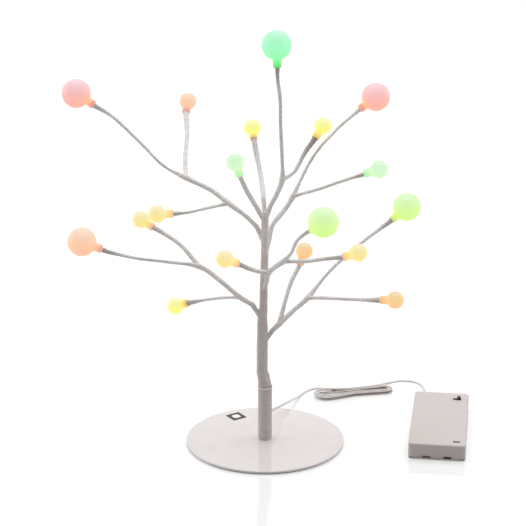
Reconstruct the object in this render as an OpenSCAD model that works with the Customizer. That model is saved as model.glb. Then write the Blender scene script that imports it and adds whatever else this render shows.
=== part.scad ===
// Table-top twig tree with eighteen frosted ball lights on eight bendable limbs,
// a round base plate, and a battery box on a hanked lead.
// Millimetres, +Z up. The origin is the centre of the underside of the base.

/* [Tree] */
// Height of the top globe's centre above the table
tree_h = 354; // [330:1:420]
// Outer diameter of the wrapped trunk just above the socket
trunk_foot_d = 11.4; // [10.5:0.1:12]
// Outer diameter of the trunk below the lowest limb
trunk_low_d = 9.6; // [8:0.1:10.5]
// Outer diameter of the trunk from the first limb to the top
trunk_d = 6.4; // [6:0.1:7.6]
// Outer diameter of a limb where it leaves the trunk
limb_root_d = 4.2; // [3.8:0.1:4.6]
// Outer diameter of a twig at its thinnest
twig_d = 2.7; // [2.5:0.1:3.4]
// Outer diameter of the wrap where it meets a globe's neck
twig_tip_d = 4.2; // [3.6:0.1:5]
// Diameter of the wires inside a limb or twig
wire_d = 1.3; // [1:0.1:1.5]
// Diameter of the hole through the wrap that the wires lie in
wrap_bore_d = 1.7; // [1.6:0.1:1.9]

/* [Lights] */
// Outer diameter of a large globe
big_globe_d = 25; // [20:0.5:30]
// Outer diameter of a small globe
small_globe_d = 15; // [12:0.5:18]
// Wall of the globes
globe_wall = 1.2; // [0.8:0.1:2]
// Outer diameter of a globe's neck
neck_d = 7.4; // [7:0.1:8.4]
// Length of a globe's neck outside the ball
neck_len = 6; // [4:0.5:8]
// Diameter of the light-emitting diode
led_d = 5; // [4.6:0.1:5.2]
// Length of the diode with its dome
led_len = 8.6; // [8:0.1:10]

/* [Base] */
// Diameter of the base plate
plate_d = 140; // [120:1:180]
// Thickness of the base plate
plate_t = 2; // [1.8:0.1:3]
// Thickness of the foam pad under the plate
pad_t = 1; // [0.6:0.1:2]
// How far the pad lies inside the plate's rim
pad_inset = 1.5; // [1:0.5:6]
// Height of the wrapped socket above the plate
socket_h = 50; // [40:1:60]
// Outer diameter of the wrapped socket
socket_wrap_d = 12.3; // [12.1:0.1:14]
// Outer diameter of the steel socket inside its wrap
socket_d = 10.7; // [10:0.1:11.2]
// Bore of the steel socket
socket_bore_d = 5; // [4.8:0.1:6]
// Diameter of the fixing screw's thread
screw_d = 4; // [3.6:0.1:4.4]
// Length of the fixing screw above the head
screw_len = 8; // [6:0.5:9]
// Side of the blank square label on the plate
label_w = 14; // [8:0.5:20]

/* [Lead] */
// Diameter of the lead
cord_d = 1.8; // [1.4:0.1:2]
// Height of the lead's exit above the plate
lead_exit_h = 18; // [17:0.5:19]

/* [Battery box] */
// Room beside the row of cells, on each side
cell_side_room = 1.25; // [0.8:0.05:4]
// Room behind the cells for the board, with the divider
board_room = 63.7; // [50:0.1:80]
// Height of the battery box
box_h = 14.6; // [14.6:0.1:16]
// Thickness of the side and end walls
box_wall = 2.2; // [2.1:0.1:2.3]
// Thickness of the top wall
box_top = 1.3; // [1:0.1:1.4]
// Radius of the box's upright corners
box_corner_r = 3.8; // [2.4:0.1:4]
// Thickness of the sliding cover
cover_t = 1.1; // [0.9:0.1:1.2]
// Diameter of one cell
cell_d = 10.4; // [10:0.1:10.5]
// Length of one cell with its nub
cell_l = 44.5; // [43:0.5:45]
// Number of cells side by side
cell_count = 4; // [2:1:4]
// Travel of the switch
switch_travel = 3.4; // [2.5:0.1:3.6]

/* [Hidden] */
$fn = 48;

// Gap between pieces that lie against each other in one body
seat_gap = 0.1;
// Gap between pieces that move past each other
move_gap = 0.3;
// How far a cut runs past the surface that it opens
overrun = 1;

// Shapes of the limbs. A point is a share of the tree's height, in X, Y and Z. A main
// line starts at its hinge on the trunk, a twig starts at a fork point of its main line,
// and each line's last point is the centre of its globe.
limb_1_shares = [[0.02, 0.004, 0.298], [0.034, 0.011, 0.31], [0.072, 0.032, 0.34],
    [0.106, 0.048, 0.366], [0.149, 0.075, 0.413], [0.189, 0.097, 0.448],
    [0.25, 0.126, 0.492], [0.311, 0.153, 0.53], [0.357, 0.176, 0.564]];
limb_1_twig_1_shares = [[0.062, 0.064, 0.394], [0.082, 0.086, 0.426], [0.098, 0.112, 0.468]];
limb_1_twig_2_shares = [[0.16, 0.018, 0.376], [0.232, -0.022, 0.386],
    [0.286, -0.054, 0.396], [0.313, -0.07, 0.402]];
limb_2_shares = [[-0.032, 0, 0.366], [-0.062, 0.002, 0.384], [-0.107, 0.001, 0.425],
    [-0.159, 0.003, 0.462], [-0.232, 0.008, 0.472], [-0.307, 0.009, 0.481],
    [-0.378, 0.011, 0.496], [-0.446, 0.014, 0.522]];
limb_2_twig_1_shares = [[-0.106, 0.026, 0.374], [-0.162, 0.055, 0.356],
    [-0.192, 0.072, 0.344], [-0.225, 0.09, 0.33]];
limb_2_twig_2_shares = [[-0.208, 0.036, 0.508], [-0.252, 0.056, 0.533],
    [-0.281, 0.071, 0.545], [-0.306, 0.084, 0.558]];
limb_3_shares = [[0.004, -0.02, 0.432], [0.008, -0.04, 0.46], [0.028, -0.068, 0.488],
    [0.044, -0.088, 0.506], [0.062, -0.116, 0.536], [0.074, -0.146, 0.574],
    [0.09, -0.17, 0.598], [0.133, -0.226, 0.644]];
limb_3_twig_1_shares = [[-0.03, -0.056, 0.474], [-0.058, -0.068, 0.49], [-0.096, -0.084, 0.51]];
limb_3_twig_2_shares = [[0.096, -0.1, 0.51], [0.134, -0.108, 0.518],
    [0.185, -0.121, 0.527], [0.219, -0.128, 0.54]];
limb_4_shares = [[0.011, 0.022, 0.534], [0.018, 0.033, 0.559], [0.046, 0.052, 0.591],
    [0.068, 0.068, 0.622], [0.114, 0.112, 0.704], [0.17, 0.149, 0.764],
    [0.238, 0.184, 0.816], [0.275, 0.204, 0.84]];
limb_4_twig_1_shares = [[0.13, 0.042, 0.648], [0.188, 0.016, 0.676],
    [0.24, -0.008, 0.7], [0.271, -0.022, 0.714]];
limb_5_shares = [[-0.02, 0.008, 0.562], [-0.044, 0.013, 0.586], [-0.088, 0.025, 0.617],
    [-0.134, 0.038, 0.648], [-0.191, 0.052, 0.673], [-0.245, 0.065, 0.699],
    [-0.299, 0.081, 0.749], [-0.364, 0.102, 0.808], [-0.412, 0.114, 0.836],
    [-0.46, 0.128, 0.865]];
limb_5_twig_1_shares = [[-0.138, 0.008, 0.61], [-0.182, -0.008, 0.604],
    [-0.222, -0.022, 0.604], [-0.258, -0.034, 0.607]];
limb_5_twig_2_shares = [[-0.196, 0.1, 0.702], [-0.194, 0.176, 0.752],
    [-0.2, 0.227, 0.786], [-0.195, 0.268, 0.815]];
limb_6_shares = [[-0.02, -0.008, 0.616], [-0.032, -0.014, 0.638], [-0.046, -0.024, 0.666],
    [-0.058, -0.036, 0.696], [-0.071, -0.05, 0.739]];
limb_7_shares = [[-0.004, 0.016, 0.63], [-0.006, 0.042, 0.65], [-0.013, 0.09, 0.682],
    [-0.02, 0.128, 0.707], [-0.027, 0.164, 0.734], [-0.032, 0.204, 0.762]];
limb_8_shares = [[0.014, 0.006, 0.618], [0.028, 0.01, 0.644], [0.041, 0.014, 0.679],
    [0.041, 0.018, 0.728], [0.037, 0.026, 0.808], [0.036, 0.03, 0.87],
    [0.03, 0.036, 0.916], [0.027, 0.042, 1]];
limb_8_twig_1_shares = [[0.072, 0.038, 0.694], [0.096, 0.07, 0.73],
    [0.12, 0.096, 0.758], [0.141, 0.118, 0.787]];

// The lines of each limb, the main line first. A line holds the number of a point of the
// main line, whether its globe is a large one, its points, and how thick it is where it is
// thinnest, as a share of the twig diameter. On a main line the number is its last fork,
// past which it thins, and on a twig it is the fork that it starts at.
LIMBS = [
    [[3, true, limb_1_shares, 1.07], [1, false, limb_1_twig_1_shares, 1.4],
        [3, false, limb_1_twig_2_shares, 1.15]],
    [[3, true, limb_2_shares, 1], [1, false, limb_2_twig_1_shares, 0.95],
        [3, false, limb_2_twig_2_shares, 1.4]],
    [[3, true, limb_3_shares, 1.07], [1, false, limb_3_twig_1_shares, 1.4],
        [3, false, limb_3_twig_2_shares, 1.3]],
    [[3, true, limb_4_shares, 1], [3, false, limb_4_twig_1_shares, 1]],
    [[4, true, limb_5_shares, 1], [2, false, limb_5_twig_1_shares, 0.95],
        [4, false, limb_5_twig_2_shares, 1.4]],
    [[3, false, limb_6_shares, 1.4]],
    [[3, false, limb_7_shares, 1.4]],
    [[2, true, limb_8_shares, 1.15], [2, false, limb_8_twig_1_shares, 1.25]]
];
// Heights at which the limbs leave the trunk's axis, as shares of the tree's height
leave_shares = [0.26, 0.326, 0.4, 0.486, 0.522, 0.576, 0.588, 0.58];
// Heights of the trunk's shoulders and top, as shares of the tree's height
shoulder_low_share = 0.195;
shoulder_share = 0.283;
shoulder_top_share = 0.36;
trunk_top_share = 0.592;

// Limb wrap: radii, length over which it thins past a fork, length of the flare at a neck
fade_len = 16;
flare_len = 14;
// Spacing of the rings of a limb, and sides of a wrap and of its wires
ring_step = 11;
wrap_sides = 8;
wire_sides = 6;
// The ball at a limb's root, and the cup in the trunk's stub that it turns in
ball_r = limb_root_d / 2;
cup_r = ball_r + move_gap;
ball_ring_angles = [160, 125, 90, 60, 40];
root_len = 2.2 * ball_r;
cup_wall = 0.3;
stub_r = cup_r + cup_wall;
stub_back = ball_r * 0.4;
// Height of the foot of a twig's wrap off the axis of its main line, and its radius,
// which is one layer of tape less than the main line's
twig_foot = wire_d;
tape_layer = 0.4;
twig_foot_r = limb_root_d / 2 - tape_layer;

// Diode
led_flange_w = 0.25;
led_flange_d = led_d + 2 * led_flange_w;
led_flange_t = 1;
neck_bore_d = led_flange_d + 2 * seat_gap;

// Trunk wires: one steel rod and the light wires round it
rod_d = 2;
light_wire_d = 1;
light_wire_count = 6;
trunk_bore_d = rod_d + 2 * light_wire_d + 4 * seat_gap;

// Heights in the base
plate_z = pad_t;
plate_top = plate_z + plate_t;
socket_top = plate_top + socket_h;
socket_wrap_foot = 1;
screw_top = plate_top + screw_len;
screw_head_d = screw_d * 1.9;
screw_gap = 0.15;
screw_room = 0.6;
rim_round = 0.5;
label_t = 0.2;
label_place = [-26.5, 48.5];
label_turn = 34;
lead_exit_z = plate_top + lead_exit_h;
lead_hole_d = cord_d + 2 * move_gap;

// Lead, from the socket to the hank and from the hank to the box
cord_sides = 8;
lead_to_hank_points = [[1, 4, lead_exit_z], [1, 9, lead_exit_z], [1.8, 14, 20.6], [3.6, 20, 19.4],
    [6.2, 27, 17.8], [9.4, 36, 15.8], [13, 46, 13.6], [16.2, 55, 11.6], [18.6, 62, 10],
    [21.2, 69, 8.4], [23.6, 76, 6.9], [26.4, 84, 5.2], [29.4, 92.6, 3.4], [33.8, 104.6, 1.2], [40, 115, 0.9],
    [45, 120, 0.9], [51, 122, 0.9], [57.5, 121.2, 0.9], [63.5, 118, 0.9]];
lead_to_box_points = [[108, 124, 3.2], [113, 128, 2.8], [118, 133.2, 1.8], [124, 138.6, 0.9],
    [131.4, 141.4, 0.9], [138.8, 141, 0.9], [144.6, 138.6, 0.9], [148.8, 134.4, 0.9],
    [151.4, 128, 0.9], [152.6, 120, 0.9], [152.8, 111, 1.4], [152, 102, 3.4], [151, 93.6, 6]];
lead_step = 2.6 * cord_d;

// Hank: two layers of loops, drawn in at the waist
hank_place = [86.8, 109.8];
hank_turn = 13;
hank_left = 29.5;
hank_right = 28.5;
hank_left_r = 6;
hank_right_r = 3;
hank_waist = 1.6;
hank_turn_gap = 0.6;
hank_step = cord_d + hank_turn_gap;
hank_turns_in = 2;
hank_first = 0.05;
hank_last = 4.2;
// Turns taken to climb a layer, and the share of that done before the far side
climb_turns = 0.25;
climb_early = 0.3;
hank_rings = 24;
hank_sides = 6;

// Battery box, in its own frame: X to its right, Y from its front end to its rear end
box_place = [124.5, -36.5];
contact_t = 0.4;
spring_len = 3;
contact_reach = 3.6;
cell_gap = 0.5;
cell_pitch = cell_d + cell_gap;
divider_y = box_wall + 2 * contact_t + spring_len + cell_l + contact_reach;
divider_t = 1.5;
box_w = cell_count * cell_pitch - cell_gap + 2 * cell_side_room + 2 * box_wall;
box_l = divider_y + board_room + box_wall;
box_turn = -7.8;
ledge_t = 0.5;
cover_play = 0.5;
groove_top = ledge_t + cover_t + cover_play;
groove_deep = box_wall / 2;
cover_z = ledge_t + 0.4 * cover_play;
cover_w = box_w - 2 * (box_wall - groove_deep) - 2 * move_gap;
lip_w = box_w - 2 * box_corner_r;
lip_z = 0.1;
notch_w = 6.8;
notch_z = 1.2;
notch_h = 2.3;
notch_apart = 18.4;
inner_top = box_h - box_top;
cell_z = groove_top + seat_gap + cell_d / 2;
nub_d = 3.8;
nub_len = 1;
board_t = 1.2;
board_z = 8.2;
board_front = divider_y + divider_t + move_gap;
board_l = box_l - box_wall - move_gap - board_front;
board_w = box_w - 2 * box_wall - 2 * move_gap;
peg_d = 3;
switch_in = [10.6, 15.3];
switch_place = [box_w - switch_in.x, box_l - switch_in.y];
switch_body = [10, 6, 3.4];
slot_w = 7.4;
slot_l = 4.6;
knob_w = 3.4;
knob_l = 3.6;
knob_rise = 2.8;
knob_sink = 1;
window_in = [8.5, 8];
window_place = [box_w - window_in.x, window_in.y];
window_w = 6.2;
window_l = 3;
lead_box_x = 8.8;
lead_box_z = 7;

// Vectors and smooth lines
function unit(v) = v / norm(v);
function catmull(a, b, c, d, t) =
    0.5 * (2 * b + (c - a) * t + (2 * a - 5 * b + 4 * c - d) * t * t
    + (3 * b - a - 3 * c + d) * t * t * t);
function at(points, i) =
    i < 0 ? 2 * points[0] - points[1]
    : i >= len(points) ? 2 * points[len(points) - 1] - points[len(points) - 2]
    : points[i];
// A smooth line through the points, with a ring about every step
function smooth_line(points, step) = concat(
    [for (i = [0:len(points) - 2])
        let (n = max(1, round(norm(points[i + 1] - points[i]) / step)))
        for (k = [0:n - 1])
            catmull(at(points, i - 1), points[i], points[i + 1], at(points, i + 2), k / n)],
    [points[len(points) - 1]]);
function lengths(line, i = 0, sum = 0) =
    i >= len(line) ? []
    : let (s = i == 0 ? 0 : sum + norm(line[i] - line[i - 1]))
        concat([s], lengths(line, i + 1, s));
function tangent(line, i) = unit(at(line, i + 1) - at(line, i - 1));
function smooth_share(t) = let (c = min(1, max(0, t))) c * c * (3 - 2 * c);

// A ring of points round a place on the line. The side vector fixes where it starts.
function ring(centre, along, side, r, sides) =
    let (u = unit(side - (side * along) * along), v = cross(along, u))
    [for (k = [0:sides - 1]) centre + r * (cos(360 * k / sides) * u + sin(360 * k / sides) * v)];
function wall_faces(first, rings, sides, inside) = [
    for (i = [0:rings - 2]) for (k = [0:sides - 1])
        let (a = first + i * sides + k, b = first + i * sides + (k + 1) % sides,
            c = a + sides, d = b + sides)
        each inside ? [[a, d, b], [a, c, d]] : [[a, b, d], [a, d, c]]];

// The rings of a tube along a line. With a direction for its tip, the last ring is square
// to that.
function rings_along(line, radii, sides, side, tip = undef) =
    [for (i = [0:len(line) - 1])
        ring(line[i], i == len(line) - 1 && is_list(tip) ? tip : tangent(line, i), side,
            radii[i], sides)];
function but_first(list) = [for (i = [1:len(list) - 1]) list[i]];
// The faces of a closed tube made of rings
function cap_faces(first, sides, turned) = [for (k = [1:sides - 2])
    turned ? [first, first + k + 1, first + k] : [first, first + k, first + k + 1]];
function rim_faces(outer, inner, sides, turned) = [for (k = [0:sides - 1])
    let (m = (k + 1) % sides)
    each turned ? [[outer + k, inner + k, inner + m], [outer + k, inner + m, outer + m]]
        : [[outer + k, inner + m, inner + k], [outer + k, outer + m, inner + m]]];

// A solid tube along a line
module cord(line, radii, sides, side, tip = undef) {
    rings = rings_along(line, radii, sides, side, tip);
    n = len(rings);
    polyhedron([for (r = rings) each r],
        concat(cap_faces(0, sides, true), wall_faces(0, n, sides, false),
            cap_faces((n - 1) * sides, sides, false)),
        convexity = 6);
}

// A tube with a bore, made of its outer and its inner rings. The bore is open at the
// head, and at the foot too unless the foot is closed.
module pipe(outer, inner, closed_foot) {
    sides = len(outer[0]);
    n = len(outer);
    m = len(inner);
    bore = n * sides;
    foot = closed_foot ? concat(cap_faces(0, sides, true), cap_faces(bore, sides, false))
        : rim_faces(0, bore, sides, true);
    polyhedron([for (r = concat(outer, inner)) each r],
        concat(foot, wall_faces(0, n, sides, false), wall_faces(bore, m, sides, true),
            rim_faces((n - 1) * sides, bore + (m - 1) * sides, sides, false)),
        convexity = 8);
}

// Turns +Z to point along a direction
module aim(direction) {
    d = unit(direction);
    rotate([0, acos(d.z), atan2(d.y, d.x)]) children();
}

// Limbs: places and radii
function limb_points(limb) = LIMBS[limb][0][2] * tree_h;
function line_points(limb, line) =
    line == 0 ? limb_points(limb)
    : concat([limb_points(limb)[LIMBS[limb][line][0]]], LIMBS[limb][line][2] * tree_h);
function globe_r(limb, line) = (LIMBS[limb][line][1] ? big_globe_d : small_globe_d) / 2;
function globe_centre(limb, line) = let (p = line_points(limb, line)) p[len(p) - 1];
function tip_direction(limb, line) =
    let (p = line_points(limb, line), n = len(p)) unit(p[n - 1] - p[n - 2]);
// The end of the neck, where the wrap stops
function neck_end(limb, line) = globe_centre(limb, line)
    - (globe_r(limb, line) + neck_len) * tip_direction(limb, line);
// The line's own points with the globe's centre changed for the neck's end
function wrap_points(limb, line) =
    let (p = line_points(limb, line), n = len(p),
        end = neck_end(limb, line) - seat_gap * tip_direction(limb, line),
        kept = [for (i = [0:n - 2]) if ((p[i] - end) * tip_direction(limb, line) < -flare_len / 2
            || i < 2) p[i]])
    concat(kept, [end]);
// The smooth line of a main line or a twig. A main line has no ring between the ball of
// its hinge and the end of its root.
function limb_line(limb, line) =
    let (whole = smooth_line(wrap_points(limb, line), ring_step), s = lengths(whole),
        bare = line == 0 ? 1.3 * root_len : 0)
    [for (i = [0:len(whole) - 1]) if (i == 0 || s[i] > bare) whole[i]];
function side_of(limb, line) =
    let (p = line_points(limb, line), d = p[len(p) - 1] - p[0]) unit(cross(d, [0, 0, 1]));
// Length along a main line up to its last fork
function fork_length(limb) =
    let (p = limb_points(limb), last = LIMBS[limb][0][0])
    lengths([for (i = [0:last]) p[i]])[last];
function thin_r(limb, line) = LIMBS[limb][line][3] * twig_d / 2;
function flare(s, total, thin) =
    max(0, twig_tip_d / 2 - thin) * pow(max(0, 1 - (total - s) / flare_len), 2);
function wrap_radius(s, total, fork_s, thin) =
    let (thick = (limb_root_d / 2 - thin) * (1 - smooth_share((s - fork_s) / fade_len)))
    thin + max(thick, flare(s, total, thin));
// A twig starts with one thickness, whatever it is further out
function twig_radius(s, total, thin) =
    thin + (twig_foot_r - thin) * (1 - smooth_share(2 * s / fade_len)) + flare(s, total, thin);

// The wrap of a main line, with the ball of its hinge at its root
module main_wrap(limb) {
    line = limb_line(limb, 0);
    side = side_of(limb, 0);
    tip = tip_direction(limb, 0);
    root = line[0];
    along = unit(line[1] - root);
    s = lengths(line);
    total = s[len(s) - 1];
    thin = thin_r(limb, 0);
    fork_s = fork_length(limb);
    ball = [for (a = ball_ring_angles)
        ring(root + ball_r * cos(a) * along, along, side, ball_r * sin(a), wrap_sides)];
    full = [ring(root + root_len * along, along, side,
        wrap_radius(root_len, total, fork_s, thin), wrap_sides)];
    rest = rings_along(line, [for (d = s) wrap_radius(d, total, fork_s, thin)], wrap_sides,
        side, tip);
    bore_end = [ring(root + ball_r * along, along, side, wrap_bore_d / 2, wrap_sides)];
    bore = rings_along(line, [for (d = s) wrap_bore_d / 2], wrap_sides, side, tip);
    color([0.80, 0.78, 0.76])
        pipe(concat(ball, full, but_first(rest)), concat(bore_end, but_first(bore)), true);
}

// The direction of a main line past the fork of one of its twigs
function fork_direction(limb, twig) =
    let (main = limb_points(limb), fork = LIMBS[limb][twig][0])
    unit(main[fork + 1] - main[fork - 1]);

// A ring with each point slid along the line to one height off a plane through a base
function foot_ring(points, base, along, up, height) =
    [for (p = points) p + (height - (p - base) * up) / (along * up) * along];

// The wrap of a twig. Its foot is cut parallel to its main line, inside that line's wrap.
module twig_wrap(limb, twig) {
    line = limb_line(limb, twig);
    side = side_of(limb, twig);
    tip = tip_direction(limb, twig);
    along = unit(line[1] - line[0]);
    away = fork_direction(limb, twig);
    up = unit(along - (along * away) * away);
    s = lengths(line);
    outer = rings_along(line,
        [for (d = s) twig_radius(d, s[len(s) - 1], thin_r(limb, twig))], wrap_sides, side, tip);
    bore = rings_along(line, [for (d = s) wrap_bore_d / 2], wrap_sides, side, tip);
    color([0.80, 0.78, 0.76])
        pipe(concat([foot_ring(outer[0], line[0], along, up, twig_foot)], but_first(outer)),
            concat([foot_ring(bore[0], line[0], along, up, twig_foot)], but_first(bore)), false);
}

// The wires inside one limb and its twigs, one solid for each line. A twig's wires start
// where they are clear of those in the main line.
module limb_wires(limb) {
    color([0.85, 0.84, 0.80])
    for (line = [0:len(LIMBS[limb]) - 1]) {
        whole = limb_line(limb, line);
        along = unit(whole[1] - whole[0]);
        away = fork_direction(limb, line);
        clear = (wire_d / 2 * (1 + abs(along * away)) + seat_gap) / norm(cross(along, away));
        start = whole[0] + (line == 0 ? ball_r + seat_gap : clear) * along;
        last = whole[len(whole) - 1] - seat_gap * tip_direction(limb, line);
        path = concat([start], [for (i = [1:len(whole) - 2]) whole[i]], [last]);
        cord(path, [for (p = path) wire_d / 2], wire_sides, side_of(limb, line),
            tip_direction(limb, line));
    }
}

// The globes of one limb, each a frosted ball with a neck
module limb_globes(limb) {
    color([0.95, 0.95, 0.85])
    for (line = [0:len(LIMBS[limb]) - 1]) {
        r = globe_r(limb, line);
        translate(neck_end(limb, line)) aim(tip_direction(limb, line))
        difference() {
            union() {
                translate([0, 0, neck_len + r]) sphere(r);
                cylinder(h = neck_len + globe_wall, d = neck_d);
            }
            translate([0, 0, neck_len + r]) sphere(r - globe_wall);
            translate([0, 0, -overrun]) cylinder(h = overrun + neck_len + r, d = neck_bore_d);
        }
    }
}

// The light-emitting diodes of one limb, in the necks of its globes
module limb_leds(limb) {
    color([0.98, 0.85, 0.55])
    for (line = [0:len(LIMBS[limb]) - 1])
        translate(neck_end(limb, line)) aim(tip_direction(limb, line)) {
            cylinder(h = led_flange_t, d = led_flange_d);
            cylinder(h = led_len - led_d / 2, d = led_d);
            translate([0, 0, led_len - led_d / 2]) sphere(d = led_d);
        }
}

// Trunk
function trunk_outline() = [
    [trunk_bore_d / 2, socket_top],
    [trunk_foot_d / 2, socket_top],
    [trunk_low_d / 2, shoulder_low_share * tree_h],
    [trunk_low_d / 2, shoulder_share * tree_h],
    [trunk_d / 2, shoulder_top_share * tree_h],
    [trunk_d / 2, trunk_top_share * tree_h],
    [trunk_bore_d / 2, trunk_top_share * tree_h]];

// The trunk's wrap, with a stub and a cup for each limb
module trunk_wrap() {
    color([0.70, 0.66, 0.64]) difference() {
        union() {
            rotate_extrude() polygon(trunk_outline());
            translate([0, 0, trunk_top_share * tree_h])
                cylinder(h = trunk_d / 2, d1 = trunk_d, d2 = trunk_bore_d);
            for (limb = [0:len(LIMBS) - 1]) {
                foot = [0, 0, leave_shares[limb] * tree_h];
                reach = limb_points(limb)[0] - foot;
                translate(foot) aim(reach) cylinder(h = norm(reach) - stub_back, r = stub_r);
            }
        }
        translate([0, 0, socket_top - overrun])
            cylinder(h = trunk_top_share * tree_h - socket_top + overrun, d = trunk_bore_d);
        for (limb = [0:len(LIMBS) - 1])
            translate(limb_points(limb)[0]) sphere(cup_r);
    }
}

// The steel rod inside the trunk and the light wires round it
rod_foot = screw_top + screw_room + seat_gap;
rod_height = trunk_top_share * tree_h - seat_gap - rod_foot;

module trunk_rod() {
    color([0.6, 0.6, 0.6]) translate([0, 0, rod_foot]) cylinder(h = rod_height, d = rod_d);
}

module trunk_light_wires() {
    color([0.85, 0.84, 0.80])
    for (k = [0:light_wire_count - 1])
        rotate(360 * (k + 0.5) / light_wire_count)
            translate([rod_d / 2 + light_wire_d / 2 + seat_gap, 0, rod_foot])
                cylinder(h = rod_height, d = light_wire_d);
}

// Base
module base_plate() {
    r = plate_d / 2;
    color([0.89, 0.87, 0.86]) difference() {
        rotate_extrude($fn = 96) polygon([[0, plate_z], [r - rim_round, plate_z],
            [r, plate_z + rim_round], [r, plate_top - rim_round], [r - rim_round, plate_top],
            [0, plate_top]]);
        translate([0, 0, plate_z - overrun])
            cylinder(h = plate_t + 2 * overrun, d = screw_d + 2 * screw_gap);
        translate([0, 0, plate_z])
            cylinder(h = (screw_head_d - screw_d) / 2, d1 = screw_head_d + 2 * screw_gap,
                d2 = screw_d + 2 * screw_gap);
    }
}

module base_pad() {
    color([0.25, 0.25, 0.25]) cylinder(h = pad_t, d = plate_d - 2 * pad_inset, $fn = 96);
}

module base_label() {
    color([0.2, 0.2, 0.2])
    translate([label_place.x, label_place.y, plate_top]) rotate(label_turn)
        translate([-label_w / 2, -label_w / 2, 0]) cube([label_w, label_w, label_t]);
}

module fixing_screw() {
    head_h = (screw_head_d - screw_d) / 2;
    color([0.75, 0.75, 0.77]) translate([0, 0, plate_z]) union() {
        cylinder(h = head_h, d1 = screw_head_d, d2 = screw_d);
        cylinder(h = screw_top - plate_z, d = screw_d);
    }
}

module lead_hole(depth) {
    translate([lead_to_hank_points[0].x, 0, lead_exit_z]) rotate([-90, 0, 0])
        cylinder(h = depth, d = lead_hole_d);
}

module socket_tube() {
    color([0.72, 0.72, 0.74]) difference() {
        translate([0, 0, plate_top]) cylinder(h = socket_h - seat_gap, d = socket_d);
        translate([0, 0, plate_top - overrun])
            cylinder(h = overrun + screw_len + screw_room, d = screw_d + 2 * screw_gap);
        translate([0, 0, screw_top + screw_room])
            cylinder(h = socket_h, d = socket_bore_d);
        lead_hole(socket_d);
    }
}

module socket_wrap() {
    foot = plate_top + socket_wrap_foot;
    color([0.66, 0.62, 0.60]) difference() {
        translate([0, 0, foot]) cylinder(h = socket_top - seat_gap - foot, d = socket_wrap_d);
        translate([0, 0, foot - overrun])
            cylinder(h = socket_h + 2 * overrun, d = socket_d + 2 * seat_gap);
        lead_hole(socket_wrap_d);
    }
}

// Lead
cord_r = cord_d / 2;
// The hank's own line. A turn runs along the far side, round the right end, back along
// the near side and round the left end, and the loops spiral in, climb a layer on the
// far side and spiral out again.
function hank_level(p) = abs(p - hank_turns_in);
function hank_width(x) = hank_waist
    + (hank_left_r - hank_waist) * smooth_share(-x / hank_left)
    + (hank_right_r - hank_waist) * smooth_share(x / hank_right);
function hank_point(p) =
    let (q = 4 * (p - floor(p)), part = floor(q), t = q - part,
        out = hank_level(p) * hank_step,
        x_far = -hank_left + t * (hank_left + hank_right),
        x_near = hank_right - t * (hank_left + hank_right),
        climb = smooth_share((p - hank_turns_in) / climb_turns + climb_early),
        flat = part == 0 ? [x_far, hank_width(x_far) + out]
            : part == 1 ? [hank_right, 0] + (hank_right_r + out) * [sin(180 * t), cos(180 * t)]
            : part == 2 ? [x_near, -hank_width(x_near) - out]
            : [-hank_left, 0] - (hank_left_r + out) * [sin(180 * t), cos(180 * t)],
        c = cos(hank_turn), s = sin(hank_turn))
    [hank_place.x + c * flat.x - s * flat.y, hank_place.y + s * flat.x + c * flat.y,
        cord_r + climb * hank_step];
function hank_line(rings) =
    let (n = round((hank_last - hank_first) * rings))
    [for (i = [0:n]) hank_point(hank_first + (hank_last - hank_first) * i / n)];
// The least gap between turns, measured on points four times as close as the rings
hank_fine = hank_line(4 * hank_rings);
hank_gap = min([for (i = [0:4:len(hank_fine) - 1]) for (j = [i + 2 * hank_rings:len(hank_fine) - 1])
    norm(hank_fine[i] - hank_fine[j])]) - cord_d;
echo(least_gap_in_hank = hank_gap);  // lead_hank

module lead_tube(points) {
    line = smooth_line(points, lead_step);
    color([0.78, 0.75, 0.73])
        cord(line, [for (p = line) cord_r], cord_sides, [0, 0, 1]);
}

hank_start = hank_point(hank_first);
hank_end = hank_point(hank_last);
hank_near = 0.01;
function hank_heading(p) = unit(hank_point(p + hank_near) - hank_point(p - hank_near));

module lead_to_hank() {
    lead_tube(concat(lead_to_hank_points,
        [hank_start - cord_d * hank_heading(hank_first), hank_start]));
}

module lead_hank() {
    line = hank_line(hank_rings);
    color([0.74, 0.71, 0.68])
        cord(line, [for (p = line) cord_r], hank_sides, [0, 0, 1]);
}

module lead_to_box() {
    exit = box_point([lead_box_x, box_l - overrun, lead_box_z]);
    before = box_point([lead_box_x, box_l + 2 * cord_d, lead_box_z]);
    lead_tube(concat([hank_end, hank_end + cord_d * hank_heading(hank_last)],
        lead_to_box_points, [before, exit]));
}

// Battery box
function box_point(p) = [
    box_place.x + cos(box_turn) * p.x - sin(box_turn) * p.y,
    box_place.y + sin(box_turn) * p.x + cos(box_turn) * p.y, p.z];

module in_box() {
    translate([box_place.x, box_place.y, 0]) rotate(box_turn) children();
}

module rounded_block(w, l, h, r) {
    translate([r, 0, 0]) cube([w - 2 * r, l, h]);
    translate([0, r, 0]) cube([w, l - 2 * r, h]);
    for (x = [r, w - r]) for (y = [r, l - r])
        translate([x, y, 0]) cylinder(h = h, r = r);
}

// The two finger slots through the front end, where the cover meets the case
module notches() {
    for (side = [-1, 1])
        translate([box_w / 2 + side * notch_apart / 2 - notch_w / 2, -overrun, notch_z])
            cube([notch_w, box_wall + overrun, notch_h]);
}

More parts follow.
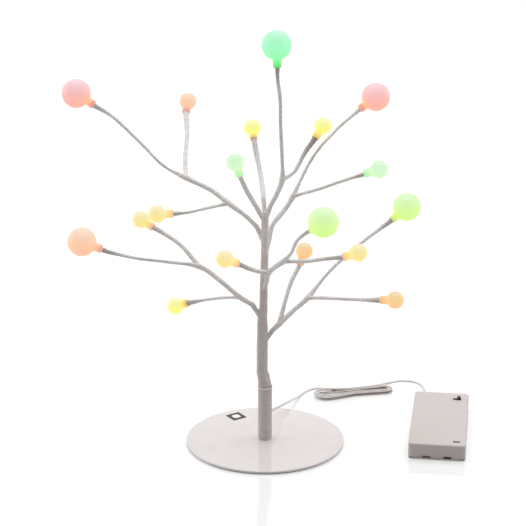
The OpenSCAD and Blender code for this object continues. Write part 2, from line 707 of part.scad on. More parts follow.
module box_case() {
    inner_w = box_w - 2 * box_wall;
    color([0.84, 0.80, 0.79]) in_box() difference() {
        union() {
            difference() {
                rounded_block(box_w, box_l, box_h, box_corner_r);
                translate([box_wall, box_wall, -overrun])
                    cube([inner_w, box_l - 2 * box_wall, overrun + inner_top]);
            }
            translate([box_wall, divider_y, groove_top])
                cube([inner_w, divider_t, inner_top - groove_top]);
            for (x = [box_wall + peg_d, box_w - box_wall - peg_d])
                translate([x, divider_y + divider_t + peg_d, board_z + board_t])
                    cylinder(h = inner_top - board_z - board_t, d = peg_d);
        }
        translate([box_wall - groove_deep, -overrun, ledge_t])
            cube([inner_w + 2 * groove_deep, box_l - box_wall + overrun, groove_top - ledge_t]);
        translate([(box_w - lip_w) / 2 - move_gap, -overrun, -overrun])
            cube([lip_w + 2 * move_gap, overrun + box_wall, overrun + groove_top]);
        notches();
        translate([switch_place.x - slot_w / 2, switch_place.y - slot_l / 2, inner_top - overrun])
            cube([slot_w, slot_l, box_top + 2 * overrun]);
        translate([window_place.x - window_w / 2, window_place.y - window_l / 2,
            inner_top - overrun])
            cube([window_w, window_l, box_top + 2 * overrun]);
        translate([lead_box_x, box_l + overrun, lead_box_z]) rotate([90, 0, 0])
            cylinder(h = box_wall + 2 * overrun, d = lead_hole_d);
    }
}

module battery_cover() {
    lip_t = box_wall - move_gap;
    color([0.82, 0.78, 0.77]) in_box() difference() {
        union() {
            translate([(box_w - cover_w) / 2, lip_t / 2, cover_z])
                cube([cover_w, box_l - box_wall - move_gap - lip_t / 2, cover_t]);
            translate([(box_w - lip_w) / 2, 0, lip_z])
                cube([lip_w, lip_t, cover_z + cover_t - lip_z]);
        }
        notches();
    }
}

// Places each cell's own frame, with every other cell turned end for end
module cell_place(k) {
    translate([box_w / 2 + (k - (cell_count - 1) / 2) * cell_pitch,
        box_wall + contact_t + spring_len + seat_gap + (k % 2) * cell_l, cell_z])
        rotate([k % 2 == 0 ? -90 : 90, 0, 0]) children();
}

module cells() {
    color([0.25, 0.35, 0.3]) in_box()
    for (k = [0:cell_count - 1])
        cell_place(k) {
            cylinder(h = cell_l - nub_len, d = cell_d);
            cylinder(h = cell_l, d = nub_d);
        }
}

module cell_contacts() {
    plate_h = inner_top - groove_top - 4 * seat_gap;
    rear_y = divider_y - contact_t;
    color([0.8, 0.78, 0.7]) in_box()
    for (k = [0:cell_count - 1]) {
        x = box_w / 2 + (k - (cell_count - 1) / 2) * cell_pitch;
        for (y = [box_wall, rear_y])
            translate([x - nub_d, y, groove_top + 2 * seat_gap]) cube([2 * nub_d, contact_t, plate_h]);
        translate([x, box_wall + contact_t, cell_z]) rotate([-90, 0, 0])
            cylinder(h = spring_len, d1 = nub_d * 1.6, d2 = nub_d);
        reach = rear_y - (box_wall + contact_t + spring_len + 2 * seat_gap + cell_l);
        translate([x, rear_y, cell_z]) rotate([90, 0, 0]) cylinder(h = reach, d = nub_d);
    }
}

// The board behind the divider, with the switch's body and two parts on it
module switch_board() {
    color([0.2, 0.45, 0.3]) in_box() difference() {
        union() {
            translate([(box_w - board_w) / 2, board_front, board_z])
                cube([board_w, board_l, board_t]);
            translate([switch_place.x - switch_body.x / 2, switch_place.y - switch_body.y / 2,
                board_z + board_t])
                cube(switch_body);
            translate([box_w / 4, board_front + board_l / 2, board_z + board_t])
                cube([cell_d / 2, cell_d / 2, board_t]);
            translate([box_w / 2, board_front + board_l / 2, board_z + board_t])
                cylinder(h = 2 * board_t, d = 3 * board_t);
        }
        translate([switch_place.x - slot_w / 2, switch_place.y - slot_l / 2,
            board_z + board_t + switch_body.z - knob_sink])
            cube([slot_w, slot_l, knob_sink + overrun]);
    }
}

// The switch's knob, at the right end of its slot
module switch_knob() {
    foot_z = board_z + board_t + switch_body.z - knob_sink + move_gap;
    color([0.08, 0.08, 0.08]) in_box()
        translate([switch_place.x + slot_w / 2 - move_gap - knob_w,
            switch_place.y - knob_l / 2, foot_z])
            cube([knob_w, knob_l, box_h + knob_rise - foot_z]);
}

base_plate();
base_pad();
base_label();
fixing_screw();
socket_tube();
socket_wrap();
trunk_wrap();
trunk_rod();
trunk_light_wires();
main_wrap(0);  // limb_1_wrap
twig_wrap(0, 1);  // limb_1_twig_1_wrap
twig_wrap(0, 2);  // limb_1_twig_2_wrap
limb_wires(0);  // limb_1_wires
limb_globes(0);  // limb_1_globes
limb_leds(0);  // limb_1_leds
main_wrap(1);  // limb_2_wrap
twig_wrap(1, 1);  // limb_2_twig_1_wrap
twig_wrap(1, 2);  // limb_2_twig_2_wrap
limb_wires(1);  // limb_2_wires
limb_globes(1);  // limb_2_globes
limb_leds(1);  // limb_2_leds
main_wrap(2);  // limb_3_wrap
twig_wrap(2, 1);  // limb_3_twig_1_wrap
twig_wrap(2, 2);  // limb_3_twig_2_wrap
limb_wires(2);  // limb_3_wires
limb_globes(2);  // limb_3_globes
limb_leds(2);  // limb_3_leds
main_wrap(3);  // limb_4_wrap
twig_wrap(3, 1);  // limb_4_twig_1_wrap
limb_wires(3);  // limb_4_wires
limb_globes(3);  // limb_4_globes
limb_leds(3);  // limb_4_leds
main_wrap(4);  // limb_5_wrap
twig_wrap(4, 1);  // limb_5_twig_1_wrap
twig_wrap(4, 2);  // limb_5_twig_2_wrap
limb_wires(4);  // limb_5_wires
limb_globes(4);  // limb_5_globes
limb_leds(4);  // limb_5_leds
main_wrap(5);  // limb_6_wrap
limb_wires(5);  // limb_6_wires
limb_globes(5);  // limb_6_globes
limb_leds(5);  // limb_6_leds
main_wrap(6);  // limb_7_wrap
limb_wires(6);  // limb_7_wires
limb_globes(6);  // limb_7_globes
limb_leds(6);  // limb_7_leds
main_wrap(7);  // limb_8_wrap
twig_wrap(7, 1);  // limb_8_twig_1_wrap
limb_wires(7);  // limb_8_wires
limb_globes(7);  // limb_8_globes
limb_leds(7);  // limb_8_leds
lead_to_hank();
lead_hank();
lead_to_box();
box_case();
battery_cover();
cells();
cell_contacts();
switch_board();
switch_knob();
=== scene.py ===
from collections import namedtuple
from math import acos, cos, degrees, dist, exp, hypot, pi, radians, sin

import bmesh
import bpy
from mathutils import Matrix, Vector


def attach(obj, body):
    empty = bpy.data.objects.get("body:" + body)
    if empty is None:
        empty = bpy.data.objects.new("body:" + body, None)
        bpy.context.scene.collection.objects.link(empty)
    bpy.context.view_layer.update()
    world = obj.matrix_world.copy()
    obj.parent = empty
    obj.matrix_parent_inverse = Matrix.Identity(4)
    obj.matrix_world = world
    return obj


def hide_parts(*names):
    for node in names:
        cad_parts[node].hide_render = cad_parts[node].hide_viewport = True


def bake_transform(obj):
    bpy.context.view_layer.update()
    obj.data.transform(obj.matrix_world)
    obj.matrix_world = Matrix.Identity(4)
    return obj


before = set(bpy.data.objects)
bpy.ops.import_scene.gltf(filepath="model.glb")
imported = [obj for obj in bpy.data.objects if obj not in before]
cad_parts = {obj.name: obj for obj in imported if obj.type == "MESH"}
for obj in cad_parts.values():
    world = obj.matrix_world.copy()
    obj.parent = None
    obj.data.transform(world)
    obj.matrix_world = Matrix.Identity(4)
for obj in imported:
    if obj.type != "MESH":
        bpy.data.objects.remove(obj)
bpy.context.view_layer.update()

# Sizes in millimetres, as in the part's source. MM turns them to metres.
MM = 0.001
TREE_H = 354
LIMB_ROOT_D = 4.2
TWIG_D = 2.7
TWIG_TIP_D = 4.2
TWIG_FOOT_R = 1.7
# The two globe diameters
BIG = 25
SMALL = 15
NECK_D = 7.4
NECK_LEN = 6
NECK_END_R = 3.5
NECK_BORE_D = 5.7
BORE_TOP = 9
PLATE_D = 140
PLATE_FOOT = 1
PLATE_TOP = 3
SOCKET_WRAP_D = 12.3
SCREW_HOLE_D = 4.3
SEAT_GAP = 0.1
CORD_D = 1.8
LABEL_PLACE = (-26.5, 48.5)
LABEL_TURN = radians(34)
LABEL_FIELD_W = 7.2
# The battery box's own frame in the shared one
BOX_FRAME = Matrix.Translation((124.5, -36.5, 0)) @ Matrix.Rotation(radians(-7.8), 4, "Z")
BOX_W = 50
BOX_L = 120
BOX_H = 14.6


# Lines and their places

def arc(x, y, r, first, last, steps):
    """Points about a centre, from one angle in degrees to another."""
    angles = [radians(first + (last - first) * k / steps) for k in range(steps + 1)]
    return [(x + r * cos(a), y + r * sin(a)) for a in angles]


def smooth_share(t):
    """0 below 0, 1 above 1, and a smooth step between them."""
    t = min(1, max(0, t))
    return t * t * (3 - 2 * t)


def smooth_line(points, step):
    """Points about a step apart along a smooth line through points."""
    points = [Vector(p) for p in points]
    ends = [2 * points[0] - points[1]] + points + [2 * points[-1] - points[-2]]
    line = []
    for i in range(len(points) - 1):
        a, b, c, d = ends[i:i + 4]
        parts = max(1, round((c - b).length / step))
        for k in range(parts):
            t = k / parts
            line.append(0.5 * (2 * b + (c - a) * t + (2 * a - 5 * b + 4 * c - d) * t * t
                               + (3 * b - a - 3 * c + d) * t * t * t))
    return line + [points[-1]]


def line_lengths(line):
    """The length along a line at each of its points."""
    total = [0]
    for a, b in zip(line, line[1:]):
        total.append(total[-1] + (b - a).length)
    return total


# Camera, at the photograph's viewing angle

CAMERA_PLACE = Vector((0, -1368.29, 614.65)) * MM
CAMERA_AHEAD = Vector((-0.00124, 0.950499, -0.310725))
CAMERA_UP = Vector((-0.0004, 0.310725, 0.950499))
CAMERA_LENS = 114.3

camera_data = bpy.data.cameras.new("camera")
camera_data.sensor_width = 36
camera_data.lens = CAMERA_LENS
camera = bpy.data.objects.new("camera", camera_data)
bpy.context.collection.objects.link(camera)
camera_right = CAMERA_AHEAD.cross(CAMERA_UP).normalized()
camera_turn = Matrix((camera_right, CAMERA_UP, -CAMERA_AHEAD)).transposed()
camera.matrix_world = Matrix.Translation(CAMERA_PLACE) @ camera_turn.to_4x4()
bpy.context.scene.camera = camera


# Nodes

def srgb(hex_colour):
    """The linear colour of an sRGB hex value."""
    parts = [int(hex_colour[i:i + 2], 16) / 255 for i in (1, 3, 5)]
    return [c / 12.92 if c <= 0.04045 else ((c + 0.055) / 1.055) ** 2.4 for c in parts] + [1]


def add(tree, kind, sockets=None, **settings):
    """A node of this kind with its settings, and its sockets set or linked."""
    node = tree.nodes.new(kind)
    for name, value in settings.items():
        setattr(node, name, value)
    for name, value in (sockets or {}).items():
        if isinstance(value, bpy.types.NodeSocket):
            tree.links.new(value, node.inputs[name])
        else:
            node.inputs[name].default_value = value
    return node


def maths(tree, operation, *values, **settings):
    """The result of a maths node on numbers or sockets."""
    return add(tree, "ShaderNodeMath", dict(enumerate(values)), operation=operation, **settings).outputs[0]


def vectors(tree, operation, *values):
    """The vector that a vector maths node makes of vectors or sockets."""
    return add(tree, "ShaderNodeVectorMath", dict(enumerate(values)), operation=operation).outputs[0]


def scaled(tree, vector, scale):
    """A vector times a number."""
    return add(tree, "ShaderNodeVectorMath", {0: vector, "Scale": scale}, operation="SCALE").outputs[0]


def mixed(tree, share, first, second):
    """The colour between two, at a share."""
    return add(tree, "ShaderNodeMix", {0: share, 6: first, 7: second}, data_type="RGBA").outputs[2]


def marked(tree, name):
    """A share that the mesh holds at its points."""
    return add(tree, "ShaderNodeAttribute", attribute_name=name).outputs["Fac"]


def new_material(name, roughness, ior=1.5, **sockets):
    """A material with a Principled shader, with its tree and its shader. A socket is named
    with low lines for its spaces."""
    material = bpy.data.materials.new(name)
    material.use_nodes = True
    tree = material.node_tree
    tree.nodes.clear()
    given = {key.replace("_", " "): value for key, value in sockets.items()}
    shader = add(tree, "ShaderNodeBsdfPrincipled", {"Roughness": roughness, "IOR": ior, **given})
    add(tree, "ShaderNodeOutputMaterial", {"Surface": shader.outputs[0]})
    return material, tree, shader


def tint(tree, shader, colour, *sockets):
    """Puts a colour on a shader, as its base colour unless other sockets are named."""
    for name in sockets or ["Base Color"]:
        tree.links.new(colour, shader.inputs[name])


def ramp(tree, share, stops):
    """A colour ramp through stops of a share and a hex colour."""
    node = add(tree, "ShaderNodeValToRGB", {"Fac": share})
    while len(node.color_ramp.elements) < len(stops):
        node.color_ramp.elements.new(1)
    for element, (place, colour) in zip(node.color_ramp.elements, stops):
        element.position = place
        element.color = srgb(colour)
    return node.outputs["Color"]


def grain(tree, size_mm, detail=2, roughness=0.5):
    """Noise on Object coordinates with a grain of about this many millimetres."""
    place = add(tree, "ShaderNodeTexCoord").outputs["Object"]
    return add(tree, "ShaderNodeTexNoise", {"Vector": place, "Scale": 1 / (size_mm * MM),
               "Detail": detail, "Roughness": roughness}).outputs["Fac"]


def bump(tree, shader, height, depth_mm, strength):
    """Bump of this depth in millimetres on a shader."""
    node = add(tree, "ShaderNodeBump", {"Height": height, "Distance": depth_mm * MM,
                                        "Strength": strength})
    tree.links.new(node.outputs["Normal"], shader.inputs["Normal"])


# Materials

def paper_tape(name, light, dark, lap, painted_shade_colour):
    """Crepe paper tape, waxed and wound on by hand. Each turn has its own tone, and it is darkened
    by painted shade in a band at each lap over the turn below and where the mesh marks painted shade."""
    material, tree, shader = new_material(name, 0.7, 1.45)
    uv = add(tree, "ShaderNodeTexCoord").outputs["UV"]
    split = add(tree, "ShaderNodeSeparateXYZ", {"Vector": uv}).outputs
    wound = maths(tree, "ADD", split["X"], split["Y"])
    turn = maths(tree, "FLOOR", wound)
    part = maths(tree, "FRACT", wound)
    tone = add(tree, "ShaderNodeTexWhiteNoise", {"W": turn}, noise_dimensions="1D").outputs["Value"]
    shade = maths(tree, "MULTIPLY_ADD", tone, 0.2, grain(tree, 5, detail=4))
    plain = ramp(tree, shade, [(0.35, dark), (0.85, light)])
    # Painted shade: a darker band at each lap, the shade of the step where a turn lies over the last
    lip = add(tree, "ShaderNodeMapRange", {"Value": part, "From Min": 0.0, "From Max": 0.2,
                                           "To Min": 0.5, "To Max": 0.0}).outputs[0]
    with_lap_shade = mixed(tree, lip, plain, srgb(lap))
    # Painted shade: the tape is darkened toward its shade colour by the share that the mesh marks
    tint(tree, shader, mixed(tree, marked(tree, "handled"), with_lap_shade, srgb(painted_shade_colour)))
    bump(tree, shader, grain(tree, 0.9, detail=3, roughness=0.7), 0.15, 0.6)
    return material


def frosted_glass(name, top, middle, foot, spot, neck):
    """Thin frosted glass, lit from within by a small lamp in its neck. It is painted palest at the
    top, a painted highlight where the room's light falls on it, with own colours by the lamp and on the neck."""
    material, tree, shader = new_material(name, 0.5, Emission_Strength=GLOW_STRENGTH)
    in_neck = marked(tree, "neck")
    # Painted light: the colour runs paler toward the top, a painted highlight of the room's light from above
    frost_and_top_light = maths(tree, "MULTIPLY_ADD", grain(tree, 1.5), 0.06, marked(tree, "height"))
    ball = ramp(tree, frost_and_top_light, [(0.05, foot), (0.5, middle), (1.0, top)])
    near = add(tree, "ShaderNodeMapRange", {"Value": in_neck, "From Min": 0.0, "From Max": 0.4}).outputs[0]
    far = add(tree, "ShaderNodeMapRange", {"Value": in_neck, "From Min": 0.45, "From Max": 0.9}).outputs[0]
    colour = mixed(tree, far, mixed(tree, near, ball, srgb(spot)), srgb(neck))
    tint(tree, shader, mixed(tree, GLASS_SHARE, srgb("#000000"), colour))
    tint(tree, shader, colour, "Emission Color")
    bump(tree, shader, grain(tree, 0.4), 0.03, 0.3)
    return material


def painted_steel(name, light, dark):
    """Baked enamel on sheet steel: a gloss film with a very fine orange peel."""
    material, tree, shader = new_material(name, 0.035, 1.62)
    tint(tree, shader, ramp(tree, grain(tree, 18), [(0.3, dark), (0.7, light)]))
    bump(tree, shader, grain(tree, 0.7), 0.01, 0.1)
    return material


def moulded_plastic(name, light, dark, roughness, spark_mm):
    """ABS from a spark-eroded mould: an even matt with a fine grain."""
    material, tree, shader = new_material(name, roughness, 1.53)
    tint(tree, shader, ramp(tree, grain(tree, spark_mm, detail=3), [(0.3, dark), (0.7, light)]))
    bump(tree, shader, grain(tree, spark_mm, detail=3), 0.04, 0.35)
    return material


def lit_epoxy(name, light, dark, strength):
    """Diffusing epoxy of a diode that is lit."""
    material, tree, shader = new_material(name, 0.25, 1.53, Emission_Strength=strength)
    colour = ramp(tree, grain(tree, 2), [(0.3, dark), (0.7, light)])
    tint(tree, shader, colour, "Base Color", "Emission Color")
    return material


def turned_metal(name, light, dark, roughness):
    """Drawn or plated metal, with faint marks of its making."""
    material, tree, shader = new_material(name, roughness, Metallic=1.0)
    tint(tree, shader, ramp(tree, grain(tree, 1.2, detail=4), [(0.3, dark), (0.7, light)]))
    return material


def soft_pvc(name, light, dark):
    """Soft PVC wire jacket: smooth, a little glossy, and dusted."""
    material, tree, shader = new_material(name, 0.42, 1.5)
    tint(tree, shader, ramp(tree, grain(tree, 5, detail=3), [(0.35, dark), (0.7, light)]))
    return material


def twin_pvc(name, light, dark, edge):
    """Half-clear PVC drawn over two stranded cores. Its edges are darker, partly by the cores showing
    and partly by painted shade, and its groove is darker by painted shade.
    """
    material, tree, shader = new_material(name, 0.38, 1.5)
    jacket = ramp(tree, grain(tree, 5, detail=3), [(0.35, dark), (0.7, light)])
    tint(tree, shader, mixed(tree, marked(tree, "edge"), jacket, srgb(edge)))
    return material


def foam(name, light, dark):
    """Closed-cell EVA foam, with cells that show as a fine speckle."""
    material, tree, shader = new_material(name, 0.9, 1.45)
    tint(tree, shader, ramp(tree, grain(tree, 0.5, detail=1), [(0.35, dark), (0.65, light)]))
    bump(tree, shader, grain(tree, 0.5, detail=1), 0.1, 0.5)
    return material


def label_paper(name, centre, turn, half, ink, light, dark):
    """A blank gummed label: dark print round a pale field with round corners, which reaches
    half its width from the centre."""
    material, tree, shader = new_material(name, 0.5, 1.45)
    place = add(tree, "ShaderNodeTexCoord").outputs["Object"]
    moved = vectors(tree, "ADD", place, [-centre[0] * MM, -centre[1] * MM, 0])
    turned = add(tree, "ShaderNodeVectorRotate", {"Vector": moved, "Angle": -turn},
                 rotation_type="Z_AXIS").outputs[0]
    share = scaled(tree, turned, 1 / (half * MM))
    square = vectors(tree, "MULTIPLY", share, share)
    split = add(tree, "ShaderNodeSeparateXYZ", {"Vector": square}).outputs
    reach = maths(tree, "ADD", maths(tree, "POWER", split["X"], 2.0), maths(tree, "POWER", split["Y"], 2.0))
    printed = maths(tree, "GREATER_THAN", reach, 1.0)
    fibres = ramp(tree, grain(tree, 0.6), [(0.3, dark), (0.7, light)])
    tint(tree, shader, mixed(tree, printed, fibres, srgb(ink)))
    return material


# The lamp's share of what is seen of a globe, and the room's
GLOW_STRENGTH = 0.86
GLASS_SHARE = 0.17

# The last two colours of each tape are painted shade: at its laps, and where the mesh marks it
limb_tape = paper_tape("limb_paper_tape", "#EEEAE9", "#DFDAD8", "#CCC5C2", "#8E8480")
trunk_tape = paper_tape("trunk_paper_tape", "#EDE4E2", "#DCD3D0", "#CAC1BE", "#90867F")
plate_paint = painted_steel("plate_baked_enamel", "#E6DFDF", "#E0D9D9")
pad_foam = foam("pad_eva_foam", "#3A3836", "#242322")
blank_label = label_paper("blank_label", LABEL_PLACE, LABEL_TURN, LABEL_FIELD_W / 2, "#352F2D",
                          "#FBFAF8", "#E6E2DF")
bright_steel = turned_metal("zinc_plated_steel", "#CFCFD2", "#A9A9AD", 0.35)
# Its last colour darkens the edges and groove: partly the cores showing, the rest painted shade
lead_pvc = twin_pvc("lead_pvc", "#F2ECE9", "#E4DDDA", "#665A52")
wire_pvc = soft_pvc("light_wire_pvc", "#E3E0D6", "#D2CEC3")
diode_epoxy = lit_epoxy("diode_epoxy", "#F4E4C8", "#E8D4B4", 0.2)
box_plastic = moulded_plastic("box_abs", "#CDC4C2", "#C6BDBB", 0.5, 0.8)
cell_sleeve = moulded_plastic("cell_shrink_sleeve", "#4B5F56", "#394A43", 0.3, 3)
contact_nickel = turned_metal("contact_nickel", "#D6D0C0", "#B5AF9F", 0.3)
board_resist = moulded_plastic("board_solder_resist", "#2F6E4A", "#265A3D", 0.35, 2)
knob_plastic = moulded_plastic("knob_abs", "#1C1A1A", "#131212", 0.45, 0.6)

# Glows of the globes, as top, middle, foot, spot by the lamp, and neck. The top is paler by painted light
# from above.
GLOWS = {
    "rose": ("#EBC6CA", "#FDBBB2", "#FFB098", "#FFC490", "#F59590"),
    "peach": ("#EFD0B9", "#FECDA6", "#FEB99C", "#FFC29A", "#EDA294"),
    "apricot": ("#EACFA8", "#FED08C", "#FAC494", "#FFC484", "#E8B482"),
    "warm_yellow": ("#EDE2B6", "#FEE998", "#FAE597", "#FFE080", "#EFBB9E"),
    "lemon": ("#EFEEB2", "#FDFC8A", "#FEFA84", "#FFF07C", "#F1CB72"),
    "lime": ("#D2EFBC", "#DAFE9E", "#D2FE7C", "#E0FF7C", "#D4E488"),
    "pale_green": ("#CCECCA", "#DAFDD0", "#D0F8BD", "#C2FBB4", "#B6EFB2"),
    "mint": ("#B0EDC8", "#A4FFC4", "#92FFA6", "#88FA94", "#66DC74"),
}
GLOW_GLASS = {name: frosted_glass("frosted_glass_" + name, *stops) for name, stops in GLOWS.items()}


# Meshes

def new_piece(name, mesh, body=None, material=None):
    """An object at the origin that holds a mesh. It can ride on a body and have a material."""
    if material:
        mesh.materials.append(material)
    piece = bpy.data.objects.new(name, mesh)
    bpy.context.collection.objects.link(piece)
    if body:
        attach(piece, body)
    return piece


def plain_mesh(name, shape):
    """A mesh made of a bmesh, which is used up."""
    mesh = bpy.data.meshes.new(name)
    shape.to_mesh(mesh)
    shape.free()
    return mesh


def finished_mesh(name, shape, smooth=True):
    """A mesh made of a bmesh, with its faces turned outwards."""
    bmesh.ops.remove_doubles(shape, verts=shape.verts, dist=0.001 * MM)
    bmesh.ops.recalc_face_normals(shape, faces=shape.faces)
    for face in shape.faces:
        face.smooth = smooth
    return plain_mesh(name, shape)


def mark(mesh, name, shares):
    """Gives each point of a mesh a number under a name."""
    mesh.attributes.new(name, "FLOAT", "POINT").data.foreach_set("value", shares)


def evaluated_mesh(piece):
    """The mesh of a piece after its modifiers."""
    return bpy.data.meshes.new_from_object(piece.evaluated_get(bpy.context.evaluated_depsgraph_get()))


def skin(shape, rings, capped):
    """Joins each ring of points to the next with faces, and closes the ends if asked."""
    for a, b in zip(rings, rings[1:]):
        for k in range(len(a)):
            m = (k + 1) % len(a)
            shape.faces.new(list(dict.fromkeys((a[k], a[m], b[m], b[k]))))
    if capped:
        shape.faces.new(rings[0][::-1])
        shape.faces.new(rings[-1])


def twin_section():
    """A flat twin cable's outline in millimetres, with how dark each point is made at an edge and in
    the groove: at an edge partly by the cores showing and partly by painted shade, and in the groove
    by painted shade."""
    half = []
    for k in range(13):
        a = radians(-126 + 252 * k / 12)
        # Painted shade at the outer sides, partly the dark cores, and painted shade in the groove
        side_cores_and_shade = 0.5 * max(0, cos(a)) ** 4
        groove_shade = 1.5 * max(0, -cos(a))
        half.append((CORE_APART / 2 + CORE_R * cos(a), CORE_R * sin(a), side_cores_and_shade + groove_shade))
    return half + [(-x, -y, e) for x, y, e in half]


def cable_mesh(name, line, rolls, darkness):
    """A twin cable along a line, with its roll and how dark its edges are at each point."""
    shape = bmesh.new()
    rings = []
    section = twin_section()
    edge = shape.verts.layers.float.new("edge")
    for i, place in enumerate(line):
        along = (line[min(i + 1, len(line) - 1)] - line[max(i - 1, 0)]).normalized()
        flat = along.cross(Vector((0, 0, 1))).normalized()
        up = flat.cross(along)
        across = cos(rolls[i]) * flat + sin(rolls[i]) * up
        top = cos(rolls[i]) * up - sin(rolls[i]) * flat
        ring = []
        for x, y, dark in section:
            vert = shape.verts.new(place + (x * across + y * top) * MM)
            vert[edge] = dark * darkness[i]
            ring.append(vert)
        rings.append(ring)
    skin(shape, rings, True)
    return finished_mesh(name, shape)


def lathe(name, outline, sides, place=None):
    """An outline of radius and height turned about Z, then put in its place."""
    shape = bmesh.new()
    place = place or Matrix.Identity(4)
    rings = []
    for r, z in outline:
        if r == 0:
            rings.append([shape.verts.new(place @ Vector((0, 0, z * MM)))] * sides)
        else:
            rings.append([shape.verts.new(place @ (Vector((x, y, z)) * MM))
                          for x, y in arc(0, 0, r, 0, 360, sides)[:-1]])
    skin(shape, rings, False)
    return finished_mesh(name, shape)


# Lead: socket to hank, hank, and hank to box, as one flat twin cable. It leaves the socket
# on its edge, lies flat where it runs free, and is rolled a little in the hank.

LEAD_TO_HANK = [
    (1, 4, 21), (1, 9, 21), (1.8, 14, 20.6), (3.6, 20, 19.4), (6.2, 27, 17.8), (9.4, 36, 15.8),
    (13, 46, 13.6), (16.2, 55, 11.6), (18.6, 62, 10), (21.2, 69, 8.4), (23.6, 76, 6.9), (26.4, 84, 5.2),
    (29.4, 92.6, 3.4), (33.8, 104.6, 1.2), (40, 115, 0.9), (45, 120, 0.9), (51, 122, 0.9),
    (57.5, 121.2, 0.9), (63.5, 118, 0.9),
]
LEAD_TO_BOX = [
    (108, 124, 3.2), (113, 128, 2.8), (118, 133.2, 1.8), (124, 138.6, 0.9), (131.4, 141.4, 0.9),
    (138.8, 141, 0.9), (144.6, 138.6, 0.9), (148.8, 134.4, 0.9), (151.4, 128, 0.9), (152.6, 120, 0.9),
    (152.8, 111, 1.4), (152, 102, 3.4), (151, 93.6, 6),
]
CORE_R = 0.65
CORE_APART = 1.1
HANK_ROLL = radians(27)
SOCKET_ROLL = radians(-65)
SOCKET_ROLL_LEN = 92
ROLL_LEN = 20
HANK_PLACE = (86.8, 109.8)
HANK_TURN = radians(13)
HANK_LEFT = 29.5
HANK_RIGHT = 28.5
HANK_LEFT_R = 6
HANK_RIGHT_R = 3
HANK_WAIST = 1.6
# How far the innermost turn is drawn in at the left fold
HANK_PINCH = 2.6
HANK_STEP = CORD_D + 0.6
# Turns lead inwards on the table, then outwards on top. The climb takes a share of a turn,
# and a share of it lies before the innermost point.
HANK_TURNS_IN = 2
HANK_CLIMB_TURNS = 0.25
HANK_CLIMB_EARLY = 0.3
HANK_FIRST = 0.05
HANK_LAST = 4.2
HANK_RINGS = 48
LEAD_STEP = 2.5
# The lead's hole in the box's rear wall, and how far the lead reaches in
BOX_HOLE = (8.8, 7)
BOX_HOLE_R = 1.2
BOX_HOLE_DEEP = 1


def hank_width(x):
    """Half the width of the innermost loop at a place along the hank."""
    return (HANK_WAIST + (HANK_LEFT_R - HANK_WAIST) * smooth_share(-x / HANK_LEFT)
            + (HANK_RIGHT_R - HANK_WAIST) * smooth_share(x / HANK_RIGHT))


def hank_point(p):
    """The hank's line after p turns: in on the table, and out again on top."""
    part, t = divmod(4 * (p % 1), 1)
    run = t * (HANK_LEFT + HANK_RIGHT)
    x = (run - HANK_LEFT, HANK_RIGHT, HANK_RIGHT - run, -HANK_LEFT)[int(part)]
    turns_out = abs(p - HANK_TURNS_IN)
    out = turns_out * HANK_STEP - HANK_PINCH * max(0, 1 - turns_out) * smooth_share(-x / HANK_LEFT)
    side = 1 if part < 2 else -1
    if part in (0, 2):
        flat = Vector((x, side * (hank_width(x) + out)))
    else:
        fold_r = out + (HANK_RIGHT_R if part == 1 else HANK_LEFT_R)
        flat = Vector((x + side * fold_r * sin(pi * t), side * fold_r * cos(pi * t)))
    flat = Matrix.Rotation(HANK_TURN, 2) @ flat + Vector(HANK_PLACE)
    climb = smooth_share((p - HANK_TURNS_IN) / HANK_CLIMB_TURNS + HANK_CLIMB_EARLY)
    return Vector((flat.x, flat.y, CORD_D / 2 + climb * HANK_STEP))


def hank_heading(p):
    """The direction of the hank's line."""
    return (hank_point(p + 0.01) - hank_point(p - 0.01)).normalized()


hank_start = hank_point(HANK_FIRST)
hank_end = hank_point(HANK_LAST)
hank_count = round((HANK_LAST - HANK_FIRST) * HANK_RINGS)
to_hank = smooth_line(LEAD_TO_HANK + [hank_start - CORD_D * hank_heading(HANK_FIRST), hank_start],
                      LEAD_STEP)
hank = [hank_point(HANK_FIRST + (HANK_LAST - HANK_FIRST) * i / hank_count) for i in range(hank_count + 1)]
to_box = smooth_line([hank_end, hank_end + CORD_D * hank_heading(HANK_LAST)] + LEAD_TO_BOX
                     + [BOX_FRAME @ Vector((BOX_HOLE[0], y, BOX_HOLE[1]))
                        for y in (BOX_L + 2 * CORD_D, BOX_L - BOX_HOLE_DEEP)], LEAD_STEP)
lead_line = to_hank[:-1] + hank + to_box[1:]
lead_s = line_lengths(lead_line)
hank_from = lead_s[len(to_hank) - 1]
hank_to = lead_s[len(to_hank) + len(hank) - 2]
in_hank = [min(smooth_share(1 - (hank_from - s) / ROLL_LEN), smooth_share(1 - (s - hank_to) / ROLL_LEN))
           for s in lead_s]
lead_rolls = [HANK_ROLL * share + SOCKET_ROLL * (1 - smooth_share(2 * s / SOCKET_ROLL_LEN - 1))
              for s, share in zip(lead_s, in_hank)]
lead_rise = [CORE_R + CORE_APART / 2 * abs(sin(roll)) - CORD_D / 2 for roll in lead_rolls]
lead_line = [(p + Vector((0, 0, rise))) * MM for p, rise in zip(lead_line, lead_rise)]
# In the hank the edges and groove are darkened twice as much: painted shade between its turns
lead_mesh = cable_mesh("lead", lead_line, lead_rolls, [0.5 + 0.5 * share for share in in_hank])
lead = new_piece("lead", lead_mesh, "base", lead_pvc)
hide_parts("lead_to_hank", "lead_hank", "lead_to_box")


# Wound tape: a tube along lines, stepped where each turn of the tape laps the last

# The middle height of a ridge, as a share, and the radius from which the relief is whole
MEAN_CREST = 0.6
FULL_RELIEF_R = 1.2
MERGE = 0.02


